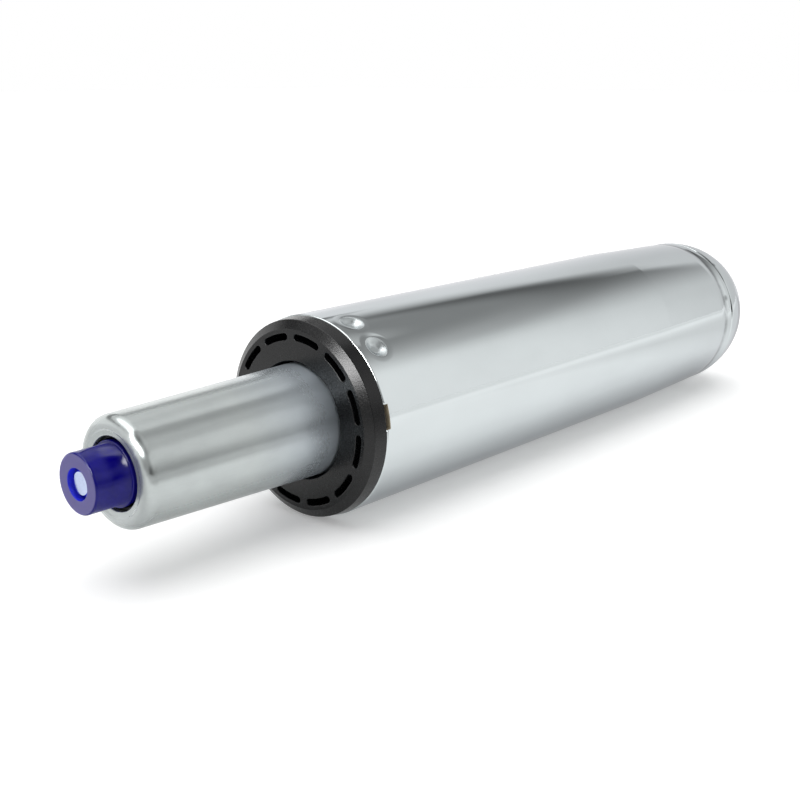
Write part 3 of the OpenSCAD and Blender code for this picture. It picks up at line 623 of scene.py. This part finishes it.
class GASLIFT_OT_pressure_tube(Operator):
    """Builds the ground pressure tube with its seat taper and its rounded, crimped end"""
    bl_idname = "gaslift.pressure_tube"
    bl_label = "Pressure tube"

    def execute(self, context):
        s = context.scene.gaslift_tube
        rim = context.scene.gaslift_column.rim
        tan = math.tan(s.taper_angle)
        end_r = s.radius - (s.top - rim) * tan
        in_end = end_r - s.wall
        step, small = s.end_hole + s.step_width, 0.1 * MM
        profile = rounded([
            (s.low_hole, s.low, s.lip), (s.radius, s.low, s.wall), (s.radius, rim, 0),
            (end_r, s.top, s.end_round), (step + 2 * s.step_depth, s.top, small),
            (step, s.top - s.step_depth, small), (s.end_hole, s.top - s.step_depth, s.lip),
            (s.end_hole, s.top - s.wall, s.lip), (in_end, s.top - s.wall, s.end_round - s.wall),
            (s.radius - s.wall, rim, 0), (s.radius - s.wall, s.low + s.wall, 0),
            (s.low_hole, s.low + s.wall, s.lip)], steps=9)
        turned_piece("ground_tube", profile, 180, "cylinder", "pressure_tube",
                     ground_steel(context))
        return {"FINISHED"}


class GASLIFT_OT_release_button(Operator):
    """Builds the moulded release button with its skirt, its rounded edge and the hole that shows the pin"""
    bl_idname = "gaslift.release_button"
    bl_label = "Release button"

    def execute(self, context):
        s = context.scene.gaslift_button
        floor = s.face - s.hole_depth
        profile = rounded([
            (s.socket, s.low, 0.15 * MM), (s.skirt_radius, s.low, 0.2 * MM),
            (s.skirt_radius, s.low + s.skirt, 0.3 * MM), (s.radius, s.low + s.skirt, 0),
            (s.radius, s.face, s.edge), (s.hole, s.face, 0.2 * MM), (s.hole, floor, 0.2 * MM),
            (s.socket, floor, 0.1 * MM)], steps=6)
        turned_piece("button_cap", profile, 128, "button", "release_button",
                     button_polyamide(context))
        return {"FINISHED"}


class GASLIFT_OT_foot(Operator):
    """Builds the stamped foot washer and the retaining clip with its three lugs"""
    bl_idname = "gaslift.foot"
    bl_label = "Foot washer and clip"

    def execute(self, context):
        s = context.scene.gaslift_foot
        low, high = foot_height("foot_washer"), top_height("foot_washer")
        e = s.washer_round
        profile = rounded([(s.washer_hole, low, e / 2), (s.washer_radius, low, e),
                           (s.washer_radius, high, e), (s.washer_hole, high, e / 2)])
        turned_piece("foot_washer_plated", profile, 96, "rod", "foot_washer",
                     metal_finish(context, "bright_zinc_plating"))

        # The clip's section follows its arc, and its inner side comes in to the rod at three lugs
        low, high = foot_height("retaining_clip"), top_height("retaining_clip")
        lug_places, lug_size, end_round, bevel = (-0.86, 0.0, 0.86), 0.09, 0.6 * MM, 0.12 * MM
        t = np.linspace(-1, 1, 161)
        swing = math.pi - s.clip_open / 2
        lugs = sum(np.exp(-((t - at) / lug_size) ** 4) for at in lug_places)
        inner = s.clip_groove + s.clip_relief * (1 - np.clip(lugs, 0, 1))
        ends = np.clip((1 - np.abs(t)) * swing * s.clip_radius / end_round, 0, 1)
        outer = s.clip_radius - (1 - np.sqrt(1 - (1 - ends) ** 2)) * end_round
        rings = [(inner + bevel, low), (outer - bevel, low), (outer, low + bevel), (outer, high - bevel),
                 (outer - bevel, high), (inner + bevel, high), (inner, high - bevel), (inner, low + bevel)]
        radius = np.stack([np.broadcast_to(r, t.shape) for r, _ in rings], 1)
        height = np.stack([np.full(t.shape, h) for _, h in rings], 1)
        angle = (t * swing)[:, None]
        points = np.stack([radius * np.sin(angle), -height, radius * np.cos(angle)], -1)
        middle = points.mean(axis=1, keepdims=True)
        shut = np.broadcast_to(middle, points.shape)
        points = np.concatenate([shut[:1], points, shut[-1:]])
        make_piece("clip_spring", points, grid_quads(*points.shape[:2], False, True), "rod",
                   "retaining_clip", [metal_finish(context, "black_oxide_spring_steel")])
        return {"FINISHED"}


# Finishes

def linear(code):
    """Linear colour of an sRGB hex value."""
    parts = [int(code[i:i + 2], 16) / 255 for i in (1, 3, 5)]
    return tuple(c / 12.92 if c <= 0.04045 else ((c + 0.055) / 1.055) ** 2.4 for c in parts) + (1.0,)


def tint(code, factor):
    """Linear colour of a hex value, made darker or lighter by a factor."""
    r, g, b, a = linear(code)
    return (r * factor, g * factor, b * factor, a)


class Nodes:
    """A node tree with a short call for each kind of node. A value in a call is a number, a colour or another
    node's output."""

    def __init__(self, tree):
        self.tree = tree
        tree.nodes.clear()

    def put(self, socket, value):
        """Gives a socket a value, or links another node's output to it."""
        if isinstance(value, bpy.types.NodeSocket):
            self.tree.links.new(value, socket)
        else:
            socket.default_value = value

    def add(self, kind, inputs=None, **settings):
        """Adds a node with its settings and inputs, and returns its outputs."""
        node = self.tree.nodes.new("ShaderNode" + kind)
        for name, value in settings.items():
            setattr(node, name, value)
        for name, value in (inputs or {}).items():
            self.put(node.inputs[name], value)
        return node.outputs

    def calc(self, operation, first, second=0.0, **settings):
        """One calculation with one or two numbers."""
        return self.add("Math", {0: first, 1: second}, operation=operation, **settings)[0]

    def product(self, value, *others):
        """All the values multiplied."""
        for other in others:
            value = self.calc("MULTIPLY", value, other)
        return value

    def span(self, value, low, high, first=0.0, last=1.0, curve="LINEAR"):
        """Maps the range from low to high onto that from first to last, and holds the result inside."""
        return self.add("MapRange", {"Value": value, "From Min": low, "From Max": high, "To Min": first,
                                     "To Max": last}, interpolation_type=curve)["Result"]

    def smooth(self, value, low, high, first=0.0, last=1.0):
        """The same with soft ends."""
        return self.span(value, low, high, first, last, "SMOOTHSTEP")

    def between(self, part, first, second):
        """Colour that lies between two colours."""
        return self.add("Mix", {0: part, 6: first, 7: second}, data_type="RGBA")[2]

    def noise(self, where, detail=4.0, roughness=0.55):
        """Noise from 0 to 1 with one grain for each unit of where."""
        return self.add("TexNoise", {"Vector": where, "Scale": 1.0, "Detail": detail,
                                     "Roughness": roughness})["Fac"]


class Finish(Nodes):
    """A material of one Principled shader, whose named sockets get constant values."""

    def __init__(self, name, **sockets):
        self.material = bpy.data.materials.get(name) or bpy.data.materials.new(name)
        self.material.use_nodes = True
        super().__init__(self.material.node_tree)
        shader = self.tree.nodes.new("ShaderNodeBsdfPrincipled")
        self.sockets = shader.inputs
        for socket, value in sockets.items():
            self.sockets[socket].default_value = value
        self.add("OutputMaterial", {"Surface": shader.outputs["BSDF"]})
        self.place = self.add("TexCoord")["Object"]

    def grain(self, size, long_way=1.0, detail=4.0, roughness=0.55):
        """Noise whose grains are size metres across and long_way times as long along the axis."""
        scale = (1.0 / size, 1.0 / size / long_way, 1.0 / size)
        where = self.add("Mapping", {"Vector": self.place, "Scale": scale})["Vector"]
        return self.noise(where, detail, roughness)

    def along(self):
        """The place along the Y axis."""
        return self.add("SeparateXYZ", {"Vector": self.place})["Y"]

    def off_axis(self):
        """The distance from the Y axis."""
        axes = self.add("SeparateXYZ", {"Vector": self.place})
        flat = self.add("CombineXYZ", {"X": axes["X"], "Z": axes["Z"]})[0]
        return self.add("VectorMath", {0: flat}, operation="LENGTH")["Value"]

    def distance(self, angle, height, radius):
        """The distance from a spot at an angle round the axis, a height and a radius."""
        spot = (radius * math.sin(angle), -height, radius * math.cos(angle))
        return self.add("VectorMath", {0: self.place, 1: spot}, operation="DISTANCE")["Value"]

    def done(self, colour, roughness, relief, depth):
        """Sets the colour and the roughness, raises the surface by a relief from 0 to 1 times a depth in
        metres, and returns the material."""
        self.put(self.sockets["Base Color"], colour)
        self.put(self.sockets["Roughness"], roughness)
        bump = self.add("Bump", {"Height": relief, "Distance": depth, "Strength": 1.0})
        self.put(self.sockets["Normal"], bump["Normal"])
        return self.material


# Spots painted dark on the rolled foot beside the crease's painted reflection: angle in degrees, height and
# radius of the spot in metres
PAINTED_DARK_SPOTS = ((70, 25.1 * MM, 1.3 * MM), (40.5, 21.5 * MM, 1.0 * MM), (18, 25.7 * MM, 1.5 * MM))
PAINTED_SPOTS_AT = 23.9 * MM  # radius of the column there


def bright_chrome(context):
    """Bright chromium on a drawn tube. The plating mirrors everything, with a faint length-wise waviness that
    the drawn tube leaves, thin polishing hairlines and a light haze from handling. Chromium mirrors a little
    less at a grazing angle, which greys the rolled foot. Along the rolling tool's crease a dark reflection is
    painted into the colour, with painted dark spots beside it. The punch scored and scuffed the floors of the
    dimples."""
    column = context.scene.gaslift_column
    code = context.scene.gaslift_finish.chrome
    f = Finish("chromium_plating", Metallic=1.0, **{"Specular Tint": (0.8, 0.8, 0.82, 1.0)})
    haze = f.grain(14 * MM, long_way=2.0, detail=3.0)
    hairlines = f.grain(0.35 * MM, long_way=0.12, detail=2.0)
    colour = f.between(f.span(haze, 0.35, 0.75), linear(code), tint(code, 0.955))

    # Painted reflection: the crease is painted dark in patches, for the dark surroundings that its curve
    # mirrors
    from_crease = f.calc("ABSOLUTE", f.calc("ADD", f.along(), column.crease_height))
    painted_crease_reflection = f.span(from_crease, column.crease_width, 0.2 * MM)
    painted_reflection_patches = f.span(f.grain(7 * MM), 0.35, 0.6, first=0.1, last=0.75)
    colour = f.between(f.product(painted_crease_reflection, painted_reflection_patches), colour, tint(code, 0.25))

    # Painted dark spots on the rolled foot, beside the crease's painted reflection
    rubbed = 1.0
    for angle, height, size in PAINTED_DARK_SPOTS:
        away = f.calc("DIVIDE", f.distance(math.radians(angle), height, PAINTED_SPOTS_AT), size)
        rubbed = f.calc("MINIMUM", rubbed, away)
    colour = f.between(f.span(rubbed, 1.0, 0.3, last=0.7), colour, tint(code, 0.3))

    nearest = 1.0
    for angle in dimple_angles(column):
        away = f.distance(angle, column.rim - column.dimple_down, column.radius)
        nearest = f.calc("MINIMUM", nearest, away)
    pressed = f.span(nearest, 1.05 * column.dimple_radius, 0.9 * column.dimple_radius)
    roughness = f.calc("ADD", f.span(haze, 0.3, 0.8, first=0.035, last=0.075),
                       f.span(hairlines, 0.45, 0.8, last=0.03))
    roughness = f.calc("ADD", roughness, f.span(pressed, 0.0, 1.0, last=0.34))

    waves = f.grain(9 * MM, long_way=6.0, detail=1.0)
    scores = f.grain(0.8 * MM, long_way=3.0, detail=1.0)
    relief = f.calc("ADD", waves, f.product(scores, f.span(pressed, 0.0, 1.0, last=8.0)))
    return f.done(colour, roughness, relief, 0.006 * MM)


def ground_steel(context):
    """Centreless-ground and phosphated steel. The grinding wheel's fine hoops and the coating blur every
    reflection into soft grey, with faint hoop lines, small length-wise rubs and a mottled sheen. Near the
    collar the coating is whole and rougher, and painted shade makes the tube bluer and darker there."""
    colours = context.scene.gaslift_finish
    rim = context.scene.gaslift_column.rim
    f = Finish("ground_phosphated_steel", Metallic=0.7, Anisotropic=0.9, **{"Anisotropic Rotation": 0.25})
    f.put(f.sockets["Tangent"], f.add("Tangent", direction_type="RADIAL", axis="Y")[0])
    hoops = f.grain(0.9 * MM, long_way=0.22, detail=3.0)
    clouds = f.grain(7 * MM, long_way=1.4, roughness=0.6)
    rubs = f.grain(0.5 * MM, long_way=14.0, detail=3.0, roughness=0.6)
    mottled = f.calc("ADD", f.span(clouds, 0.3, 0.7, last=0.65), f.span(rubs, 0.5, 0.75, last=0.2))
    colour = f.between(mottled, tint(colours.ground, 1.07), tint(colours.ground, 0.9))
    # Painted shade: bluer and darker towards the collar, which shades the tube there
    collar_painted_shade = f.span(f.along(), -rim - 30 * MM, -rim - 8 * MM, last=0.55)
    colour = f.between(collar_painted_shade, colour, linear(colours.collar_painted_shade))
    roughness = f.calc("ADD", f.span(clouds, 0.3, 0.7, first=0.18, last=0.21),
                       f.span(hoops, 0.4, 0.7, first=-0.01, last=0.02))
    roughness = f.calc("ADD", roughness, f.span(f.along(), -rim - 22 * MM, -rim - 4 * MM, last=0.12))
    return f.done(colour, roughness, hoops, 0.0018 * MM)


def moulded_acetal(context):
    """Black acetal from a spark-eroded mould. The fine even grain, about a third of a millimetre here so that
    it shows, breaks the light into a soft dark grey sheen, and rubbed spots are a little paler."""
    code = context.scene.gaslift_finish.sleeve
    f = Finish("moulded_black_acetal", IOR=1.48, **{"Specular IOR Level": 0.4})
    grain = f.grain(0.36 * MM, detail=3.0, roughness=0.65)
    rubs = f.grain(2.2 * MM, detail=5.0, roughness=0.7)
    colour = f.between(f.span(rubs, 0.62, 0.78), linear(code), tint(code, 2.6))
    return f.done(colour, f.span(grain, 0.3, 0.7, first=0.2, last=0.3), grain, 0.022 * MM)


def button_polyamide(context):
    """Violet blue polyamide, moulded and slightly see-through. The barrel is glossy and nearly navy, its matt
    face is painted paler, a painted sheen, and the thin wall of the hole is painted a purer, brighter blue,
    painted light that comes through the wall."""
    colours = context.scene.gaslift_finish
    button = context.scene.gaslift_button
    f = Finish("moulded_blue_polyamide", IOR=1.53, **{
        "Specular IOR Level": 0.24, "Subsurface Weight": 0.2,
        "Subsurface Radius": (0.5 * MM, 0.6 * MM, 3 * MM), "Subsurface Scale": 1.0})
    clouds = f.grain(3 * MM, detail=3.0)
    texture = f.grain(0.25 * MM, detail=2.0)
    # Painted sheen: the face gets a paler colour
    face = f.span(f.along(), 0.12 * MM - button.face, 0.03 * MM - button.face)
    # Painted light: the hole's wall gets a brighter, purer blue, for light that comes through it
    hole = f.span(f.off_axis(), button.hole + 0.15 * MM, button.hole + 0.02 * MM)
    colour = f.between(f.span(clouds, 0.3, 0.7), tint(colours.button, 0.85), tint(colours.button, 1.2))
    colour = f.between(face, colour, linear(colours.button_face_painted_sheen))
    colour = f.between(hole, colour, linear(colours.button_hole_painted_light))
    roughness = f.calc("ADD", f.span(clouds, 0.3, 0.7, first=0.14, last=0.22), f.span(face, 0.0, 1.0, last=0.3))
    return f.done(colour, roughness, texture, 0.004 * MM)


# Metals with fine rings round the axis: colour, roughness, distance between the rings, their depth, and the
# clouds' shade beside the colour
METALS = {
    # Hard chromium on a ground rod: cool and nearly mirror-bright, with the finest hoops left in it
    "hard_chromium": ("rod", 0.12, 0.25 * MM, 0.003 * MM, 0.95),
    # Hardened and polished steel of the valve pin: its end lies in the button's hole, and its blue tint is a
    # painted reflection of the hole's blue walls
    "pin_steel_painted_blue_reflection": ("pin", 0.16, 0.25 * MM, 0.003 * MM, 0.8),
    # Bright zinc plating on stamped steel: bluish white, with a soft bloom and rings from the stamping
    "bright_zinc_plating": ("zinc", 0.26, 0.35 * MM, 0.008 * MM, 0.85),
    # Mild steel left bare where it was cut: oiled and slightly browned, so it looks dull tan beside the chrome
    "bare_mild_steel": ("steel", 0.42, 0.3 * MM, 0.01 * MM, 0.62),
    # Hardened spring steel with a black oxide film: dark and oily, with brownish rub marks
    "black_oxide_spring_steel": ("spring", 0.34, 0.4 * MM, 0.008 * MM, 1.5),
    # Ground and polished bearing steel: clear and bright
    "polished_bearing_steel": ("bearing", 0.10, 0.3 * MM, 0.002 * MM, 0.93),
    # Turned aluminium: soft white, with fine bright rings from the tool
    "turned_aluminium": ("aluminium", 0.24, 0.22 * MM, 0.01 * MM, 0.85),
    # Turned brass: warm yellow, with fine tool rings
    "turned_brass": ("brass", 0.22, 0.22 * MM, 0.01 * MM, 0.85),
    # Aluminium, turned and anodised black: it keeps a faint sheen of the tool rings
    "black_anodised_aluminium": ("anodised", 0.32, 0.22 * MM, 0.01 * MM, 0.85),
}

# Dull materials with an uneven grain: colour, roughness, size of the grain, its depth, the clouds' shade beside
# the colour, and how metallic it is
DULL = {
    # Glass-filled polyamide of the ball cage: matt and slightly streaked
    "glass_filled_polyamide": ("cage", 0.5, 0.3 * MM, 0.02 * MM, 1.4, 0.0),
    # Natural acetal of the rod guide: creamy white and waxy
    "natural_acetal": ("guide", 0.38, 0.4 * MM, 0.01 * MM, 0.9, 0.0),
    # Black nitrile rubber: matt with a slight bloom
    "black_nitrile_rubber": ("rubber", 0.62, 0.35 * MM, 0.03 * MM, 1.7, 0.0),
    # Oiled wool felt: short fibres about a tenth of a millimetre thick
    "oiled_wool_felt": ("felt", 0.9, 0.12 * MM, 0.1 * MM, 0.7, 0.0),
    # Steel of the plated tube where it was sheared: coarse and dull tan beside the chrome
    "sheared_steel": ("cut", 0.6, 0.25 * MM, 0.02 * MM, 0.7, 0.3),
}


def metal_finish(context, name):
    """Turned, ground or polished metal of the table. Its fine rings catch the light as a radial sheen."""
    hue_name, rough, ring, depth, shade = METALS[name]
    code = getattr(context.scene.gaslift_finish, hue_name)
    f = Finish(name, Metallic=1.0)
    across, along = f.product(f.off_axis(), 1 / ring), f.product(f.along(), 1 / ring)
    rings = f.noise(f.add("CombineXYZ", {"X": across, "Y": along})[0], detail=2.0)
    colour = f.between(f.span(f.grain(4 * MM), 0.3, 0.7), linear(code), tint(code, shade))
    return f.done(colour, f.span(rings, 0.3, 0.7, first=rough * 0.8, last=rough * 1.3), rings, depth)


def dull_finish(context, name):
    """Plastic, rubber, felt or coarse metal of the table. Its grain dulls it, and its shade drifts a little."""
    hue_name, rough, size, depth, shade, metallic = DULL[name]
    code = getattr(context.scene.gaslift_finish, hue_name)
    f = Finish(name, IOR=1.5, Metallic=metallic)
    grain = f.grain(size, roughness=0.65)
    colour = f.between(f.span(f.grain(8 * size, detail=3.0), 0.3, 0.7), linear(code), tint(code, shade))
    return f.done(colour, f.span(grain, 0.3, 0.7, first=rough - 0.08, last=rough + 0.08), grain, depth)


INNER_FINISHES = {
    "hard_chromium": ("piston_rod",),
    "pin_steel_painted_blue_reflection": ("valve_pin",),
    "bright_zinc_plating": ("bumper_washer", "piston_washers", "end_washer"),
    "bare_mild_steel": ("base_plate", "inner_tube"),
    "polished_bearing_steel": ("lower_race", "upper_race", "bearing_balls"),
    "glass_filled_polyamide": ("ball_cage",),
    "natural_acetal": ("centring_ring", "rod_guide"),
    "turned_aluminium": ("piston",),
    "black_anodised_aluminium": ("valve_body",),
    "turned_brass": ("seal_retainer",),
    "black_nitrile_rubber": ("rubber_bumper", "piston_ring", "guide_o_ring", "rod_seal", "valve_o_rings",
                             "pin_seal"),
    "oiled_wool_felt": ("rod_wiper",),
}


class GASLIFT_OT_inner_parts(Operator):
    """Gives every CAD piece that is shown as it is the finish of its real material"""
    bl_idname = "gaslift.inner_parts"
    bl_label = "Inner parts"

    def execute(self, context):
        for name, nodes in INNER_FINISHES.items():
            material = (metal_finish if name in METALS else dull_finish)(context, name)
            for node in nodes:
                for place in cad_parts[node].material_slots:
                    place.material = material
        return {"FINISHED"}


class GASLIFT_OT_studio(Operator):
    """Lays the pale floor and sets up the white tent, the softbox above and the camera"""
    bl_idname = "gaslift.studio"
    bl_label = "Studio"

    def execute(self, context):
        s = context.scene.gaslift_studio
        scene = context.scene
        self.lay_floor(context)
        self.hang_tent(context)

        overhead = bpy.data.lights.new("overhead_light", "SUN")
        overhead.energy = math.pi * s.overhead
        overhead.angle = s.overhead_size
        lean = Vector((-math.sin(s.overhead_lean), 0, math.cos(s.overhead_lean)))
        self.hang_lamp(context, overhead, OBJECT_MIDDLE + lean).visible_glossy = False

        softbox = bpy.data.lights.new("front_softbox", "AREA")
        softbox.shape = "RECTANGLE"
        softbox.size = s.front_width
        softbox.size_y = s.front_height
        softbox.energy = s.front * math.pi * s.front_width * s.front_height
        self.hang_lamp(context, softbox, Vector(s.front_place)).visible_diffuse = False

        camera_data = bpy.data.cameras.new("camera")
        camera_data.sensor_width = 36.0
        camera_data.lens = s.lens
        camera_data.clip_start = 0.01
        camera = bpy.data.objects.new("camera", camera_data)
        camera.location = s.camera
        camera.rotation_euler = (Vector(s.aim) - Vector(s.camera)).to_track_quat("-Z", "Y").to_euler()
        scene.collection.objects.link(camera)
        scene.camera = camera
        scene.view_settings.view_transform = "Standard"
        return {"FINISHED"}

    def hang_lamp(self, context, data, place):
        """Hangs a lamp at a place, points it at the middle of the object and returns it."""
        lamp = bpy.data.objects.new(data.name, data)
        lamp.location = place
        lamp.rotation_euler = (OBJECT_MIDDLE - place).to_track_quat("-Z", "Y").to_euler()
        context.scene.collection.objects.link(lamp)
        return lamp

    def lay_floor(self, context):
        """A wide flat floor of matt white board that keeps the shadow and is lifted to white where nothing
        shades it. In the reflections some zones of it are dimmed: painted shade, with a painted shadow under
        the object."""
        s = context.scene.gaslift_studio
        code = context.scene.gaslift_finish.floor
        side, z = s.floor_side, CAD_BOX[0][2]
        mesh = bpy.data.meshes.new("floor")
        mesh.from_pydata([(-side, -side, z), (side, -side, z), (side, side, z), (-side, side, z)], [],
                         [(0, 1, 2, 3)])
        material = bpy.data.materials.new("matt_white_board")
        material.use_nodes = True
        n = Nodes(material.node_tree)
        rays = n.add("LightPath")
        way = n.add("SeparateXYZ", {"Vector": n.add("TexCoord")["Object"]})
        x, y = way["X"], way["Y"]
        # Painted shade that only mirrored rays see: dark zones of the floor, and a painted shadow under the
        # object
        zones = (
            n.product(n.span(y, *FAR_Y, s.near_dim, s.far_dim), n.span(x, *FAR_X)),
            n.product(n.span(n.calc("SUBTRACT", x, y), *RIGHT_ACROSS, last=s.right_dim), n.span(x, *RIGHT_X)),
            n.product(n.span(y, *CORNER_Y, last=s.corner_dim), n.span(x, *CORNER_X)),
            n.span(x, *HORIZON_X, last=s.horizon_dim),
            n.span(n.calc("ABSOLUTE", x), *UNDER_X, last=s.under_dim),
        )
        painted_floor_shade = 0.0
        for zone in zones:
            painted_floor_shade = n.calc("ADD", painted_floor_shade, zone, use_clamp=True)
        shade = n.between(n.product(painted_floor_shade, rays["Is Glossy Ray"]), linear(code), tint(code, 0.0))
        board = n.add("BsdfDiffuse", {"Color": shade})[0]
        seen = n.calc("MAXIMUM", rays["Is Camera Ray"], rays["Is Glossy Ray"])
        seen = n.calc("MAXIMUM", seen, rays["Is Transmission Ray"])
        glow = n.add("Emission", {"Strength": n.product(seen, s.floor_lift)})[0]
        n.add("OutputMaterial", {"Surface": n.add("AddShader", {0: board, 1: glow})[0]})
        mesh.materials.append(material)
        floor = bpy.data.objects.new("studio_floor", mesh)
        context.scene.collection.objects.link(floor)

    def hang_tent(self, context):
        """A white tent all round with a dark open top: the reflections see its upper edge, which is sharp on
        one side and fades on the other, the camera sees plain white, and all the rest gets even fill light."""
        e = context.scene.gaslift_tent
        world = bpy.data.worlds.new("white_tent")
        context.scene.world = world
        world.use_nodes = True
        n = Nodes(world.node_tree)
        way = n.add("SeparateXYZ", {"Vector": n.add("TexCoord")["Generated"]})
        x, y, z = way["X"], way["Y"], way["Z"]
        azimuth = n.calc("ARCTAN2", x, n.calc("ABSOLUTE", y))
        elevation = n.calc("ARCSINE", z)

        def band(angle, edges, first=0.0, last=1.0):
            """Rises with soft ends over a part of an azimuth or elevation, whose edges are in degrees."""
            return n.smooth(angle, math.radians(edges[0]), math.radians(edges[1]), first, last)

        def less(whole, part, depth):
            """The whole, less a part of a certain depth."""
            return n.calc("SUBTRACT", whole, n.product(part, depth))

        # The open top: its edge sinks towards the right and softens towards the left
        right = n.calc("MAXIMUM", n.calc("SUBTRACT", azimuth, e.knee), 0.0)
        left = n.calc("MAXIMUM", n.calc("SUBTRACT", e.soft, azimuth), 0.0)
        sunk, softened = n.product(right, e.sink), n.product(left, e.soft_slope)
        low = n.calc("SUBTRACT", n.calc("SUBTRACT", e.edge_low, sunk), softened)
        high = n.calc("ADD", n.calc("SUBTRACT", e.edge_high, sunk), softened)
        line = n.calc("MINIMUM", n.product(azimuth, e.slope), e.slope_top)
        sloping = n.smooth(n.calc("SUBTRACT", elevation, line), e.slope_low, e.slope_high)
        opening = n.product(n.smooth(elevation, low, high), sloping, band(azimuth, OPENING_AZIMUTH))
        depth = n.smooth(elevation, e.edge_high, e.depth_top, e.depth, e.depth_high)
        shade = less(1.0, opening, depth)

        # The ring under the overhead light, the far right horizon and the strip high on the far left
        shade = n.calc("MINIMUM", shade, less(1.0, band(elevation, RING_ELEVATION), e.ring))
        far_right = n.product(band(azimuth, HORIZON_AZIMUTH), band(elevation, HORIZON_ELEVATION))
        shade = less(shade, far_right, e.horizon)
        strip = n.product(band(elevation, STRIP_ABOVE), band(elevation, STRIP_BELOW))
        shade = less(shade, n.product(band(azimuth, STRIP_AZIMUTH), strip), e.strip)

        # The softbox above the left side, and the dark room behind the camera, which the satin pieces see
        softbox = n.product(
            band(elevation, SOFTBOX_ELEVATION),
            band(azimuth, SOFTBOX_AZIMUTH, e.softbox_left, e.softbox_right), band(azimuth, SOFTBOX_END),
            n.smooth(y, *SOFTBOX_NEAR_Y, e.softbox_far, 1.0), e.softbox)
        room = n.product(n.smooth(y, *ROOM_Y), n.smooth(x, *ROOM_X))
        corner = n.product(band(azimuth, CORNER_AZIMUTH), band(elevation, CORNER_ELEVATION),
                           n.smooth(y, *TENT_CORNER_Y, last=e.corner))
        shade = n.calc("ADD", less(shade, n.calc("MAXIMUM", room, corner), e.room), softbox)

        # The level of the sides and of the middle
        level = n.product(
            band(azimuth, LEFT_AZIMUTH, e.left, 1.0), band(azimuth, FAR_LEFT_AZIMUTH, 1.0, e.far_left),
            band(n.calc("ABSOLUTE", azimuth), CENTRE_AZIMUTH, e.centre, 1.0), e.level)
        bright = n.product(shade, level)
        tent = n.add("CombineColor", {"Red": bright, "Green": bright, "Blue": bright})[0]

        def background(colour, strength):
            return n.add("Background", {"Color": colour, "Strength": strength})[0]

        white = (1.0, 1.0, 1.0, 1.0)
        rays = n.add("LightPath")
        mirrored = n.calc("MAXIMUM", rays["Is Glossy Ray"], rays["Is Transmission Ray"])
        fill = context.scene.gaslift_studio.fill
        lit = n.add("MixShader", {0: mirrored, 1: background(white, fill), 2: background(tent, 1.0)})[0]
        whole = n.add("MixShader", {0: rays["Is Camera Ray"], 1: lit, 2: background(white, 1.0)})[0]
        n.add("OutputWorld", {"Surface": whole})


class GASLIFT_PT_panel(Panel):
    """Lists the pieces of the gas lift with their sizes and colours"""
    bl_label = "Gas Lift"
    bl_space_type = "VIEW_3D"
    bl_region_type = "UI"
    bl_category = "Gas Lift"

    def draw(self, context):
        for operator, group in STEPS + ((None, "gaslift_tent"), (None, "gaslift_finish")):
            box = self.layout.box()
            if operator:
                box.operator(operator.bl_idname)
            if group:
                settings = getattr(context.scene, group)
                for name in settings.__annotations__:
                    box.prop(settings, name)


GROUPS = {
    "gaslift_column": ColumnSizes,
    "gaslift_sleeve": SleeveSizes,
    "gaslift_tube": TubeSizes,
    "gaslift_button": ButtonSizes,
    "gaslift_foot": FootSizes,
    "gaslift_finish": FinishColours,
    "gaslift_studio": StudioSettings,
    "gaslift_tent": TentSettings,
}

STEPS = (
    (GASLIFT_OT_column, "gaslift_column"),
    (GASLIFT_OT_guide_sleeve, "gaslift_sleeve"),
    (GASLIFT_OT_pressure_tube, "gaslift_tube"),
    (GASLIFT_OT_release_button, "gaslift_button"),
    (GASLIFT_OT_foot, "gaslift_foot"),
    (GASLIFT_OT_inner_parts, None),
    (GASLIFT_OT_studio, "gaslift_studio"),
)


def register():
    for name, group in GROUPS.items():
        bpy.utils.register_class(group)
        setattr(bpy.types.Scene, name, PointerProperty(type=group))
    for operator, _ in STEPS:
        bpy.utils.register_class(operator)
    bpy.utils.register_class(GASLIFT_PT_panel)


def unregister():
    bpy.utils.unregister_class(GASLIFT_PT_panel)
    for operator, _ in reversed(STEPS):
        bpy.utils.unregister_class(operator)
    for name, group in GROUPS.items():
        delattr(bpy.types.Scene, name)
        bpy.utils.unregister_class(group)


def main():
    register()
    for operator, _ in STEPS:
        family, name = operator.bl_idname.split(".")
        getattr(getattr(bpy.ops, family), name)()
    bpy.context.view_layer.update()


if __name__ == "__main__":
    main()
